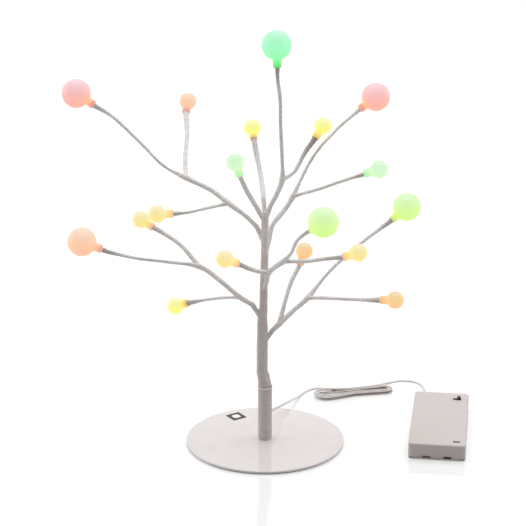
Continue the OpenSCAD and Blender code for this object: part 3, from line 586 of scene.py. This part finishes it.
def wound_tape_tree():
    """Turns lines with a thickness at each point into tubes of wound tape."""
    tree = bpy.data.node_groups.new("wound_tape", "GeometryNodeTree")
    tree.interface.new_socket("Lines", in_out="INPUT", socket_type="NodeSocketGeometry")
    for name in ("Turn", "Lap", "Lumps", "Ridge", "Strands", "Twist", "Ring Spacing", "Seed"):
        tree.interface.new_socket(name, in_out="INPUT", socket_type="NodeSocketFloat")
    tree.interface.new_socket("Sides", in_out="INPUT", socket_type="NodeSocketInt")
    tree.interface.new_socket("Tube", in_out="OUTPUT", socket_type="NodeSocketGeometry")
    given = add(tree, "NodeGroupInput").outputs

    # The lines, each point with its thickness
    curve = add(tree, "GeometryNodeMeshToCurve", {"Mesh": given["Lines"]}).outputs["Curve"]
    rail = add(tree, "GeometryNodeResampleCurve", {"Curve": curve, "Length": given["Ring Spacing"]},
               mode="LENGTH")
    place = add(tree, "GeometryNodeInputPosition").outputs[0]
    along = add(tree, "GeometryNodeSplineParameter").outputs["Length"]
    held = add(tree, "GeometryNodeCaptureAttribute", {"Geometry": rail.outputs[0]})
    held.capture_items.new("VECTOR", "Centre")
    held.capture_items.new("FLOAT", "Along")
    tree.links.new(place, held.inputs["Centre"])
    tree.links.new(along, held.inputs["Along"])
    thickness = add(tree, "GeometryNodeInputNamedAttribute", {"Name": "thickness"},
                    data_type="FLOAT").outputs["Attribute"]

    # The profile, open so that each place round it has its own share
    spokes = maths(tree, "ADD", given["Sides"], 1.0)
    circle = add(tree, "GeometryNodeCurveArc", {"Resolution": spokes, "Radius": 1.0, "Start Angle": 0.0,
                                                "Sweep Angle": 2 * pi})
    round_share = add(tree, "GeometryNodeSplineParameter").outputs["Factor"]
    profile = add(tree, "GeometryNodeCaptureAttribute", {"Geometry": circle.outputs[0]})
    profile.capture_items.new("FLOAT", "Round")
    tree.links.new(round_share, profile.inputs["Round"])
    tube = add(tree, "GeometryNodeCurveToMesh", {"Curve": held.outputs["Geometry"],
                                                 "Profile Curve": profile.outputs["Geometry"],
                                                 "Scale": thickness}).outputs["Mesh"]

    # The lap: the surface falls along each turn and steps up at the next
    turns = maths(tree, "DIVIDE", held.outputs["Along"], given["Turn"])
    wound = maths(tree, "ADD", turns, profile.outputs["Round"])
    part = maths(tree, "FRACT", wound)
    fall = maths(tree, "SUBTRACT", 0.5, part)
    seeded = add(tree, "ShaderNodeTexNoise", {"Vector": place, "W": given["Seed"], "Scale": 170.0,
                                              "Detail": 3.0, "Roughness": 0.6}, noise_dimensions="4D")
    lump = maths(tree, "SUBTRACT", seeded.outputs["Fac"], 0.5)
    lap_height = maths(tree, "MULTIPLY", fall, given["Lap"])
    height = maths(tree, "MULTIPLY_ADD", lump, given["Lumps"], lap_height)

    # The strands: the wires under the tape show as ridges that twist slowly round it
    twisted = maths(tree, "MULTIPLY", held.outputs["Along"], given["Twist"])
    strand = maths(tree, "MULTIPLY_ADD", profile.outputs["Round"], given["Strands"], twisted)
    wave = maths(tree, "SINE", maths(tree, "MULTIPLY", strand, pi))
    level = maths(tree, "SUBTRACT", maths(tree, "ABSOLUTE", wave), MEAN_CREST)
    height = maths(tree, "MULTIPLY_ADD", level, given["Ridge"], height)

    # The surface is moved out from the line, and less where the tube draws in to a point
    spoke = vectors(tree, "SUBTRACT", place, held.outputs["Centre"])
    reach = add(tree, "ShaderNodeVectorMath", {0: spoke}, operation="LENGTH").outputs["Value"]
    full = maths(tree, "DIVIDE", reach, FULL_RELIEF_R * MM, use_clamp=True)
    offset = scaled(tree, vectors(tree, "NORMALIZE", spoke), maths(tree, "MULTIPLY", height, full))
    raised = add(tree, "GeometryNodeSetPosition", {"Geometry": tube, "Offset": offset}).outputs[0]

    # The map: once round in U, and one turn of tape in V
    uv = add(tree, "ShaderNodeCombineXYZ", {"X": profile.outputs["Round"], "Y": turns}).outputs[0]
    mapped = add(tree, "GeometryNodeStoreNamedAttribute", {"Geometry": raised, "Name": "UVMap", "Value": uv},
                 data_type="FLOAT2", domain="CORNER")
    closed = add(tree, "GeometryNodeMergeByDistance", {"Geometry": mapped.outputs[0],
                                                       "Distance": MERGE * MM}).outputs[0]
    smooth = add(tree, "GeometryNodeSetShadeSmooth", {"Geometry": closed}).outputs[0]
    add(tree, "NodeGroupOutput", {"Tube": smooth})
    return tree


WOUND_TAPE = wound_tape_tree()


def wind_tape(name, lines, tape, **sizes):
    """A piece of wound tape along lines of places and radii in millimetres. The sizes are the
    tree's inputs."""
    shape = bpy.data.meshes.new(name + "_lines")
    places = [p * MM for line in lines for p, r in line]
    thickness = [r * MM for line in lines for p, r in line]
    edges = []
    first = 0
    for line in lines:
        edges += [(first + i, first + i + 1) for i in range(len(line) - 1)]
        first += len(line)
    shape.from_pydata(places, edges, [])
    mark(shape, "thickness", thickness)
    holder = new_piece(name + "_lines", shape)
    modifier = holder.modifiers.new("wound_tape", "NODES")
    modifier.node_group = WOUND_TAPE
    for item in WOUND_TAPE.interface.items_tree:
        key = item.name.replace(" ", "_").lower()
        if key in sizes:
            modifier[item.identifier] = sizes[key]
    outwards = bmesh.new()
    outwards.from_mesh(evaluated_mesh(holder))
    bmesh.ops.recalc_face_normals(outwards, faces=outwards.faces)
    bpy.data.objects.remove(holder)
    return new_piece(name, plain_mesh(name, outwards), material=tape)


# How much painted shade darkens the trunk's tape, the height up to which it does, and how far above it that
# fades
TRUNK_PAINTED_SHADE = 0.35
PAINTED_SHADE_TOP = 130
PAINTED_SHADE_FADE = 70


def mark_painted_shade(mesh, share_at):
    """Marks how much painted shade darkens the tape, from a function of a place in millimetres."""
    mark(mesh, "handled", [share_at(*(v.co / MM)) for v in mesh.vertices])


def low_share(z):
    """How much of the low tape's painted shade is left at a height in millimetres."""
    return 1 - smooth_share((z - PAINTED_SHADE_TOP) / PAINTED_SHADE_FADE)


# Trunk: its axis sways a little, as bent by hand

SWAY = [(0, 0), (53, 0), (60, -0.8), (67, -2.4), (80, -2.4), (100, -2.2), (116, -2.3),
        (128, -1.3), (139, -1.2), (177, -0.4), (215, 0)]
# The trunk's radius at each height
TRUNK = [(51, 0), (51.2, 5.2), (54, 5.75), (58, 5.6), (69, 4.85), (90, 4.8), (100, 4.7),
         (110, 4.5), (118, 4.1), (128, 3.4), (150, 3.3), (200, 3.1), (209, 2.9), (213, 1.8), (214.5, 0)]


def between(table, z, ease=float):
    """A table's value at a height, straight from row to row or eased."""
    for (z1, v1), (z2, v2) in zip(table, table[1:]):
        if z <= z2:
            return v1 + (v2 - v1) * ease((z - z1) / (z2 - z1))
    return table[-1][1]


def sway(z):
    """How far the trunk's axis stands to the right at a height."""
    return between(SWAY, z, smooth_share)


trunk_heights = sorted({z for z, r in TRUNK} | set(range(52, 214, 2)))
trunk = wind_tape("trunk_tape", [[(Vector((sway(z), 0, z)), between(TRUNK, z)) for z in trunk_heights]],
                  turn=0.0055, lap=0.0001, lumps=0.0007, ridge=0.00045, strands=7.0, twist=3.0,
                  ring_spacing=0.0006, sides=42, seed=3.0, tape=trunk_tape)
# Painted shade on the low trunk, fading above
mark_painted_shade(trunk.data, lambda x, y, z: TRUNK_PAINTED_SHADE * low_share(z))
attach(trunk, "base")
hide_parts("trunk_wrap")

# Socket's sleeve, wound closer, with its loose upper edge standing off the trunk
SLEEVE_R = SOCKET_WRAP_D / 2
SLEEVE = [(4, 5.3), (4.1, SLEEVE_R - 0.2), (5, SLEEVE_R), (49, SLEEVE_R), (52, SLEEVE_R), (52.6, 5.5)]
LIP = [(51.6, SLEEVE_R - 0.3), (51.8, SLEEVE_R + 0.25), (52.4, SLEEVE_R + 0.5), (53, SLEEVE_R + 0.4),
       (53.3, SLEEVE_R)]
sleeve = wind_tape("socket_tape", [[(Vector((0, 0, z)), r) for z, r in SLEEVE]],
                   turn=0.0021, lap=0.0001, lumps=0.0003, ridge=0.0001, strands=9.0, twist=0.0,
                   ring_spacing=0.0004, sides=36, seed=5.0, tape=trunk_tape)
# Painted highlight: the loose edge is wound with the limbs' lighter tape, without the sleeve's painted shade
lip = wind_tape("socket_tape_lip", [[(Vector((0, 0, z)), r) for z, r in LIP]],
                turn=0.0021, lap=0.0, lumps=0.0004, ridge=0.0001, strands=5.0, twist=0.0,
                ring_spacing=0.0002, sides=36, seed=6.0, tape=limb_tape)
# Painted shade over the whole sleeve
mark_painted_shade(sleeve.data, lambda x, y, z: TRUNK_PAINTED_SHADE)
for piece in (sleeve, lip):
    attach(piece, "base")
    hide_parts("socket_wrap")


# Limbs. A point is a share of the tree's height. A main line starts at its hinge on the
# trunk, a twig starts at a fork point of its main line, and each ends at its globe's centre.
# A line holds its fork point (on a main line, the last one), its globe's glow and diameter,
# how thick it is where it is thinnest, as a share of the twig diameter, and its points.

Branch = namedtuple("Branch", "fork glow globe_d thin shares")
LEAVE_SHARES = [0.26, 0.326, 0.4, 0.486, 0.522, 0.576, 0.588, 0.58]
LIMBS = [[Branch(*values) for values in limb] for limb in [
    [(3, "lime", BIG, 1.07, [(0.02, 0.004, 0.298), (0.034, 0.011, 0.31), (0.072, 0.032, 0.34),
      (0.106, 0.048, 0.366), (0.149, 0.075, 0.413), (0.189, 0.097, 0.448), (0.25, 0.126, 0.492),
      (0.311, 0.153, 0.53), (0.357, 0.176, 0.564)]),
     (1, "apricot", SMALL, 1.4, [(0.062, 0.064, 0.394), (0.082, 0.086, 0.426), (0.098, 0.112, 0.468)]),
     (3, "apricot", SMALL, 1.15, [(0.16, 0.018, 0.376), (0.232, -0.022, 0.386), (0.286, -0.054, 0.396),
      (0.313, -0.07, 0.402)])],
    [(3, "peach", BIG, 1.0, [(-0.032, 0, 0.366), (-0.062, 0.002, 0.384), (-0.107, 0.001, 0.425),
      (-0.159, 0.003, 0.462), (-0.232, 0.008, 0.472), (-0.307, 0.009, 0.481), (-0.378, 0.011, 0.496),
      (-0.446, 0.014, 0.522)]),
     (1, "lemon", SMALL, 0.95, [(-0.106, 0.026, 0.374), (-0.162, 0.055, 0.356), (-0.192, 0.072, 0.344),
      (-0.225, 0.09, 0.33)]),
     (3, "warm_yellow", SMALL, 1.4, [(-0.208, 0.036, 0.508), (-0.252, 0.056, 0.533),
      (-0.281, 0.071, 0.545), (-0.306, 0.084, 0.558)])],
    [(3, "lime", BIG, 1.07, [(0.004, -0.02, 0.432), (0.008, -0.04, 0.46), (0.028, -0.068, 0.488),
      (0.044, -0.088, 0.506), (0.062, -0.116, 0.536), (0.074, -0.146, 0.574), (0.09, -0.17, 0.598),
      (0.133, -0.226, 0.644)]),
     (1, "warm_yellow", SMALL, 1.4, [(-0.03, -0.056, 0.474), (-0.058, -0.068, 0.49),
      (-0.096, -0.084, 0.51)]),
     (3, "warm_yellow", SMALL, 1.3, [(0.096, -0.1, 0.51), (0.134, -0.108, 0.518), (0.185, -0.121, 0.527),
      (0.219, -0.128, 0.54)])],
    [(3, "rose", BIG, 1.0, [(0.011, 0.022, 0.534), (0.018, 0.033, 0.559), (0.046, 0.052, 0.591),
      (0.068, 0.068, 0.622), (0.114, 0.112, 0.704), (0.17, 0.149, 0.764), (0.238, 0.184, 0.816),
      (0.275, 0.204, 0.84)]),
     (3, "pale_green", SMALL, 1.0, [(0.13, 0.042, 0.648), (0.188, 0.016, 0.676), (0.24, -0.008, 0.7),
      (0.271, -0.022, 0.714)])],
    [(4, "rose", BIG, 1.0, [(-0.02, 0.008, 0.562), (-0.044, 0.013, 0.586), (-0.088, 0.025, 0.617),
      (-0.134, 0.038, 0.648), (-0.191, 0.052, 0.673), (-0.245, 0.065, 0.699), (-0.299, 0.081, 0.749),
      (-0.364, 0.102, 0.808), (-0.412, 0.114, 0.836), (-0.46, 0.128, 0.865)]),
     (2, "warm_yellow", SMALL, 0.95, [(-0.138, 0.008, 0.61), (-0.182, -0.008, 0.604),
      (-0.222, -0.022, 0.604), (-0.258, -0.034, 0.607)]),
     (4, "peach", SMALL, 1.4, [(-0.196, 0.1, 0.702), (-0.194, 0.176, 0.752), (-0.2, 0.227, 0.786),
      (-0.195, 0.268, 0.815)])],
    [(3, "pale_green", SMALL, 1.4, [(-0.02, -0.008, 0.616), (-0.032, -0.014, 0.638),
      (-0.046, -0.024, 0.666), (-0.058, -0.036, 0.696), (-0.071, -0.05, 0.739)])],
    [(3, "lemon", SMALL, 1.4, [(-0.004, 0.016, 0.63), (-0.006, 0.042, 0.65), (-0.013, 0.09, 0.682),
      (-0.02, 0.128, 0.707), (-0.027, 0.164, 0.734), (-0.032, 0.204, 0.762)])],
    [(2, "mint", BIG, 1.15, [(0.014, 0.006, 0.618), (0.028, 0.01, 0.644), (0.041, 0.014, 0.679),
      (0.041, 0.018, 0.728), (0.037, 0.026, 0.808), (0.036, 0.03, 0.87), (0.03, 0.036, 0.916),
      (0.027, 0.042, 1)]),
     (2, "lemon", SMALL, 1.25, [(0.072, 0.038, 0.694), (0.096, 0.07, 0.73), (0.12, 0.096, 0.758),
      (0.141, 0.118, 0.787)])],
]]
FADE_LEN = 16
FLARE_LEN = 14
FORK_SWELL = 0.45
FORK_LEN = 5
TAPE_STEP = 2
# How much painted shade darkens the tape near the trunk and at a neck, and the length that this
# reaches. The lines that differ go by their limb and branch numbers.
FOOT_PAINTED_SHADE = (0.3, 30)
NECK_PAINTED_SHADE = (0.5, 22)
OWN_PAINTED_SHADE = {(1, 1): (0.1, 22), (2, 0): (0.6, 26), (4, 0): (0, 22), (5, 0): (0.25, 22), (5, 2): (0, 22),
               (6, 0): (0, 22), (7, 0): (0.4, 60), (8, 1): (0.85, 48)}
# The lines with extra turns of tape before the neck, what they add to the radius, the length
# that they cover, and how soon they reach it
WOUND_NECKS = [(1, 0), (1, 2), (2, 0), (2, 1), (5, 0), (5, 2), (7, 0), (8, 1)]
NECK_SWELL = 0.4
NECK_SWELL_LEN = 22
NECK_SWELL_RISE = 14
# How far beyond its line a wrap closes, at its foot and at its tip
CLOSE_FOOT = 0.3
CLOSE_TIP = 0.02
ROOT_STEPS = 5
GLOBE_SIDES = 40
GLOBE_STEPS = 28
# How far below a globe's centre its neck's colour sets in, as a share of its radius
NECK_FROM = 0.8


def line_points(limb, k):
    """The points of a limb's main line, number 0, or of a twig from its fork on."""
    before = [limb[0].shares[limb[k].fork]] if k else []
    return [Vector(p) * TREE_H for p in before + limb[k].shares]


def neck_end(points, globe_d):
    """The end of a globe's neck, and the direction from there to the globe."""
    heading = (points[-1] - points[-2]).normalized()
    return points[-1] - (globe_d / 2 + NECK_LEN) * heading, heading


def tape_line(points, globe_d):
    """A smooth line through the points, up to the globe's neck."""
    end, heading = neck_end(points, globe_d)
    end = end - SEAT_GAP * heading
    kept = [p for i, p in enumerate(points[:-1]) if (p - end).dot(heading) < -FLARE_LEN / 2 or i < 2]
    return smooth_line(kept + [end], TAPE_STEP)


def flare(s, total, thin):
    """How far the tape widens at the neck of a globe."""
    return max(0, TWIG_TIP_D / 2 - thin) * max(0, 1 - (total - s) / FLARE_LEN) ** 2


def swell(s, forks):
    """How far the tape swells at forks."""
    return sum(FORK_SWELL * exp(-((s - f) / FORK_LEN) ** 2) for f in forks)


def neck_swell(s, total, branch_number):
    """How far extra turns of tape thicken a wrap before its neck."""
    wound = branch_number in WOUND_NECKS
    return wound * NECK_SWELL * smooth_share((s - total + NECK_SWELL_LEN) / NECK_SWELL_RISE)


def closed_line(line, radii):
    """A line with its radii, drawn in to a point at both ends."""
    before = line[0] - CLOSE_FOOT * (line[1] - line[0]).normalized()
    after = line[-1] + CLOSE_TIP * (line[-1] - line[-2]).normalized()
    return [(before, 0)] + list(zip(line, radii)) + [(after, 0)]


def main_line(number, limb):
    """A limb's main line, from inside the trunk, with its radii."""
    points = line_points(limb, 0)
    foot_z = LEAVE_SHARES[number - 1] * TREE_H
    foot = Vector((sway(foot_z), 0, foot_z))
    root = [foot + (points[0] - foot) * k / ROOT_STEPS for k in range(ROOT_STEPS)]
    line = root + tape_line(points, limb[0].globe_d)
    s = line_lengths(line)
    places = {i: s[min(range(len(line)), key=lambda k: (line[k] - points[i]).length)]
              for i in {branch.fork for branch in limb}}
    forks = [places[branch.fork] for branch in limb[1:]]
    last_fork = places[limb[0].fork]
    thin = limb[0].thin * TWIG_D / 2
    thick = [(LIMB_ROOT_D / 2 - thin) * (1 - smooth_share((x - last_fork) / FADE_LEN)) for x in s]
    radii = [thin + max(t, flare(x, s[-1], thin)) + swell(x, forks) + neck_swell(x, s[-1], (number, 0))
             for x, t in zip(s, thick)]
    return closed_line(line, radii)


def twig_line(number, limb, k):
    """A twig's line, which starts inside its main line, with its radii."""
    line = tape_line(line_points(limb, k), limb[k].globe_d)
    s = line_lengths(line)
    thin = limb[k].thin * TWIG_D / 2
    radii = [thin + (TWIG_FOOT_R - thin) * (1 - smooth_share(2 * x / FADE_LEN))
             + flare(x, s[-1], thin) + swell(x, [0]) + neck_swell(x, s[-1], (number, k)) for x in s]
    return closed_line(line, radii)


def globe_outline(r):
    """A globe and its neck, from the foot of the bore to the top of the ball. Height 0 is the
    neck's end, towards which it narrows."""
    neck_r = NECK_D / 2
    bore_r = NECK_BORE_D / 2
    centre = NECK_LEN + r
    start = degrees(acos((neck_r + 0.9) / r))
    join_z = centre - r * sin(radians(start))
    outline = [(0, BORE_TOP), (bore_r - 0.4, BORE_TOP), (bore_r, BORE_TOP - 0.4), (bore_r, 0.25),
               (bore_r + 0.1, 0.05), (NECK_END_R - 0.1, 0), (NECK_END_R, 0.15),
               (neck_r, join_z - 1.3), (neck_r + 0.12, join_z - 0.7), (neck_r + 0.4, join_z - 0.3)]
    return outline + arc(0, centre, r, -start, 90, GLOBE_STEPS)[:-1] + [(0, centre + r)]


def globe(name, points, globe_d):
    """A globe's mesh in its place, with the numbers that its material reads."""
    end, heading = neck_end(points, globe_d)
    place = Matrix.Translation(end * MM) @ Vector((0, 0, 1)).rotation_difference(heading).to_matrix().to_4x4()
    mesh = lathe(name, globe_outline(globe_d / 2), GLOBE_SIDES, place)
    centre = points[-1] * MM
    r = globe_d / 2 * MM
    height = [0.5 + 0.5 * (v.co.z - centre.z) / r for v in mesh.vertices]
    below = [-(v.co - centre).dot(heading) - NECK_FROM * r for v in mesh.vertices]
    neck = [min(1, max(0, d / ((1 - NECK_FROM) * r + NECK_LEN * MM))) for d in below]
    mark(mesh, "height", height)
    mark(mesh, "neck", neck)
    return mesh


for number, limb in enumerate(LIMBS, 1):
    body = f"limb_{number}"
    twigs = [twig_line(number, limb, k) for k in range(1, len(limb))]
    wrapped = wind_tape(body + "_tape", [main_line(number, limb)] + twigs,
                        turn=0.0042, lap=0.0001, lumps=0.0008, ridge=0.0003, strands=4.0, twist=25.0,
                        ring_spacing=0.0005, sides=20, seed=10.0 + number, tape=limb_tape)
    lines = [line_points(limb, k) for k in range(len(limb))]
    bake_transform(wrapped)
    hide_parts(body + "_wrap", *[f"{body}_twig_{k}_wrap" for k in range(1, len(limb))])
    necks = [(neck_end(line, branch.globe_d)[0], *OWN_PAINTED_SHADE.get((number, k), NECK_PAINTED_SHADE))
             for k, (line, branch) in enumerate(zip(lines, limb))]
    # Painted shade near the trunk's foot and round each neck
    mark_painted_shade(wrapped.data, lambda x, y, z: max(
        [FOOT_PAINTED_SHADE[0] * low_share(z) * smooth_share(1 - hypot(x, y) / FOOT_PAINTED_SHADE[1])]
        + [share * smooth_share(1 - dist((x, y, z), neck) / reach) for neck, share, reach in necks]))
    for k, (line, branch) in enumerate(zip(lines, limb), 1):
        name = f"{body}_globe_{k}"
        ball = new_piece(name, globe(name, line, branch.globe_d), body, GLOW_GLASS[branch.glow])
        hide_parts(body + "_globes")


# Base plate, with its countersunk screw hole under the socket

SINK_TOP = 2.9
SCREW_HEAD_R = 3.95
EDGE_LOW_R = 0.5
EDGE_TOP_R = 0.6
# How far in from the edge and out from the hole the top is level right up to a ring
EDGE_FLAT = 4
HOLE_FLAT = 1
ROUND_STEPS = 6
PLATE_SIDES = 192

plate_r = PLATE_D / 2
hole_r = SCREW_HOLE_D / 2
plate_outline = [(hole_r, PLATE_TOP), (hole_r, SINK_TOP), (SCREW_HEAD_R, PLATE_FOOT)]
plate_outline += arc(plate_r - EDGE_LOW_R, PLATE_FOOT + EDGE_LOW_R, EDGE_LOW_R, -90, 0, ROUND_STEPS)
plate_outline += arc(plate_r - EDGE_TOP_R, PLATE_TOP - EDGE_TOP_R, EDGE_TOP_R, 0, 90, ROUND_STEPS)
plate_outline += [(r, PLATE_TOP) for r in (plate_r - EDGE_FLAT, hole_r + HOLE_FLAT, hole_r)]
plate = new_piece("plate", lathe("plate", plate_outline, PLATE_SIDES), "base", plate_paint)
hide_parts("base_plate")


# Battery box. Its shell is cut by the same openings as the part's.

WALL = 2.2
TOP = 1.3
CORNER_R = 3.8
CORNER_STEPS = 8
TOP_ROUND = 1.6
FOOT_ROUND = 0.8
GROOVE_TOP = 2.1
LEDGE = 0.5
INNER_TOP = BOX_H - TOP
# How far a cutter stands out of what it cuts, and the angle from which an edge looks sharp
OVERRUN = 1
SHARP_FROM = radians(35)
# The lip's slot is wider than the lip by a running gap at each side
LIP_IN = CORNER_R - 0.3
# Finger notches at the front, at this distance from the middle
NOTCH_APART = 9.2
NOTCH_W = 6.8
NOTCH_LOW = 1.2
NOTCH_TOP = 3.5
# The switch's slot and the dark window in the top, by middle and size
SLOT_PLACE = (39.4, 104.7)
SLOT_SIZE = (7.4, 4.6)
WINDOW_PLACE = (41.5, 8)
WINDOW_SIZE = (6.2, 3)
DIVIDER_FRONT = 54.1
DIVIDER_BACK = 55.6
# How far the divider reaches into the walls
DIVIDER_ROOT = 0.3
KNOB_W = 3.4
KNOB_L = 3.6
KNOB_FOOT = 12.2
KNOB_TOP = 17.4
KNOB_GAP = 0.3
KNOB_ROUND = 0.12
RIB_W = 0.6
RIB_STEP = 1.05
RIB_RISE = 0.5
RIB_ROOT = 0.3
RIB_SIDE = 0.35
RIB_END = 0.15


def block(shape, low, high):
    """A block between two corners, added to a bmesh."""
    size = [b - a for a, b in zip(low, high)]
    middle = [(a + b) / 2 for a, b in zip(low, high)]
    place = Matrix.Translation(middle) @ Matrix.Diagonal((*size, 1))
    return bmesh.ops.create_cube(shape, size=1, matrix=place)["verts"]


def in_box(mesh):
    """Puts a mesh made in millimetres in the box's own frame in its place, in metres."""
    mesh.transform(Matrix.Scale(MM, 4) @ BOX_FRAME)
    return mesh


def rounded_loop(inset, z):
    """The box's outline at a height, drawn in by an inset."""
    right = BOX_W - CORNER_R
    back = BOX_L - CORNER_R
    centres = [(right, back), (CORNER_R, back), (CORNER_R, CORNER_R), (right, CORNER_R)]
    return [(x, y, z) for k, (cx, cy) in enumerate(centres)
            for x, y in arc(cx, cy, CORNER_R - inset, 90 * k, 90 * k + 90, CORNER_STEPS)]


def box_shell():
    """The case's outer form, with a soft top edge, as a closed mesh in millimetres."""
    shape = bmesh.new()
    turns = arc(1, 1, 1, -90, -180, ROUND_STEPS)
    loops = [rounded_loop(FOOT_ROUND * inward, FOOT_ROUND * up) for inward, up in turns]
    loops += [rounded_loop(TOP_ROUND * inward, BOX_H - TOP_ROUND * down) for down, inward in turns]
    skin(shape, [[shape.verts.new(p) for p in loop] for loop in loops], True)
    return plain_mesh("box_shell", shape)


def box_cuts():
    """The case's cavity and openings, as closed blocks in millimetres."""
    blocks = [((WALL, WALL, -OVERRUN), (BOX_W - WALL, BOX_L - WALL, INNER_TOP)),
              ((WALL / 2, -OVERRUN, LEDGE), (BOX_W - WALL / 2, BOX_L - WALL, GROOVE_TOP)),
              ((LIP_IN, -OVERRUN, -OVERRUN), (BOX_W - LIP_IN, WALL, GROOVE_TOP))]
    for x in (BOX_W / 2 - NOTCH_APART, BOX_W / 2 + NOTCH_APART):
        blocks.append(((x - NOTCH_W / 2, -OVERRUN, NOTCH_LOW), (x + NOTCH_W / 2, WALL, NOTCH_TOP)))
    for (x, y), (w, l) in [(SLOT_PLACE, SLOT_SIZE), (WINDOW_PLACE, WINDOW_SIZE)]:
        blocks.append(((x - w / 2, y - l / 2, INNER_TOP - OVERRUN), (x + w / 2, y + l / 2, BOX_H + OVERRUN)))
    groups = []
    for low, high in blocks:
        shape = bmesh.new()
        block(shape, low, high)
        groups.append(shape)
    hole = bmesh.new()
    bmesh.ops.create_cone(hole, cap_ends=True, segments=24, radius1=BOX_HOLE_R, radius2=BOX_HOLE_R,
                          depth=2 * WALL, matrix=Matrix.Translation((BOX_HOLE[0], BOX_L, BOX_HOLE[1]))
                          @ Matrix.Rotation(pi / 2, 4, "X"))
    return groups + [hole]


def cut(mesh, cutters):
    """A mesh with each cutter taken out of it."""
    holder = new_piece("cut_holder", mesh)
    for i, shape in enumerate(cutters):
        tool = new_piece(f"cutter_{i}", plain_mesh(f"cutter_{i}", shape))
        modifier = holder.modifiers.new("cut", "BOOLEAN")
        modifier.operation = "DIFFERENCE"
        modifier.solver = "EXACT"
        modifier.object = tool
    result = evaluated_mesh(holder)
    for o in [holder] + [m.object for m in holder.modifiers]:
        bpy.data.objects.remove(o)
    return result


case_shape = bmesh.new()
case_shape.from_mesh(cut(box_shell(), box_cuts()))
block(case_shape, (WALL - DIVIDER_ROOT, DIVIDER_FRONT, GROOVE_TOP),
      (BOX_W - WALL + DIVIDER_ROOT, DIVIDER_BACK, INNER_TOP + DIVIDER_ROOT))
case_mesh = in_box(plain_mesh("case", case_shape))
case_mesh.shade_smooth()
case_mesh.set_sharp_from_angle(angle=SHARP_FROM)
case = new_piece("case", case_mesh, "base", box_plastic)
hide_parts("box_case")

# Switch knob, at the right end of its slot, with three grip ribs
knob_right = SLOT_PLACE[0] + SLOT_SIZE[0] / 2 - KNOB_GAP
knob_left = knob_right - KNOB_W
knob_front = SLOT_PLACE[1] - KNOB_L / 2
knob_back = SLOT_PLACE[1] + KNOB_L / 2
knob_shape = bmesh.new()
block(knob_shape, (knob_left, knob_front, KNOB_FOOT), (knob_right, knob_back, KNOB_TOP - RIB_RISE))
for k in range(3):
    rib_x = knob_left + RIB_SIDE + RIB_STEP * k
    block(knob_shape, (rib_x, knob_front + RIB_END, KNOB_TOP - RIB_RISE - RIB_ROOT),
          (rib_x + RIB_W, knob_back - RIB_END, KNOB_TOP))
bmesh.ops.bevel(knob_shape, geom=knob_shape.edges[:], offset=KNOB_ROUND, segments=2, affect="EDGES")
knob_mesh = in_box(finished_mesh("knob", knob_shape, smooth=False))
knob = new_piece("knob", knob_mesh, "switch_knob", knob_plastic)
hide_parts("switch_knob")


# Materials of the CAD nodes that stay

NODE_FINISHES = {
    "base_pad": pad_foam, "base_label": blank_label, "fixing_screw": bright_steel,
    "socket_tube": bright_steel, "trunk_rod": bright_steel, "trunk_light_wires": wire_pvc,
    "battery_cover": box_plastic, "cells": cell_sleeve, "cell_contacts": contact_nickel,
    "switch_board": board_resist,
}
for number in range(1, 9):
    NODE_FINISHES[f"limb_{number}_wires"] = wire_pvc
    NODE_FINISHES[f"limb_{number}_leds"] = diode_epoxy
for node, material in NODE_FINISHES.items():
    for slot in bpy.data.objects[node].material_slots:
        slot.material = material


# Stage and light

FLOOR_LIFT = 0.35
# The backdrop's strength as lighting, and what it has more where it is seen
WORLD_LIGHT = 0.24
WORLD_SEEN = 0.76


def seen_directly(tree):
    """1 for a ray from the camera or from a reflection, and 0 for any other."""
    rays = add(tree, "ShaderNodeLightPath").outputs
    return maths(tree, "MAXIMUM", rays["Is Camera Ray"], rays["Is Glossy Ray"])


def stage_floor():
    """A pale floor that the camera sees as white, apart from the object's shadow on it."""
    material, tree, shader = new_material("floor_paper", 0.05, 1.75)
    through = add(tree, "ShaderNodeLightPath").outputs["Is Transmission Ray"]
    seen = maths(tree, "MAXIMUM", seen_directly(tree), through)
    tree.links.new(maths(tree, "MULTIPLY", seen, FLOOR_LIFT), shader.inputs["Emission Strength"])
    shader.inputs["Emission Color"].default_value = (1, 1, 1, 1)
    shader.inputs["Base Color"].default_value = srgb("#CBCBCB")
    shape = bmesh.new()
    bmesh.ops.create_grid(shape, x_segments=1, y_segments=1, size=4)
    floor = new_piece("floor", plain_mesh("floor", shape), material=material)


def soft_light(name, place, aim, size, watts):
    """A square soft light at a place, turned to a point."""
    data = bpy.data.lights.new(name, "AREA")
    data.shape = "SQUARE"
    data.size = size
    data.energy = watts
    light = bpy.data.objects.new(name, data)
    light.location = place
    light.rotation_euler = (Vector(aim) - Vector(place)).to_track_quat("-Z", "Y").to_euler()
    bpy.context.collection.objects.link(light)


stage_floor()
soft_light("overhead", (0.1, 0.5, 2.5), (0.05, 0.05, 0.1), 3.0, 67)
soft_light("left", (-2.2, 0.5, 0.9), (0.0, 0.0, 0.2), 1.6, 17)
soft_light("right", (2.3, 0.5, 0.9), (0.0, 0.0, 0.2), 1.6, 13)

world = bpy.data.worlds.new("studio")
bpy.context.scene.world = world
world.use_nodes = True
backdrop_tree = world.node_tree
backdrop_tree.nodes.clear()
level = maths(backdrop_tree, "MULTIPLY_ADD", seen_directly(backdrop_tree), WORLD_SEEN, WORLD_LIGHT)
backdrop = add(backdrop_tree, "ShaderNodeBackground", {"Color": (1, 1, 1, 1), "Strength": level})
add(backdrop_tree, "ShaderNodeOutputWorld", {"Surface": backdrop.outputs[0]})

bpy.context.scene.view_settings.view_transform = "Standard"
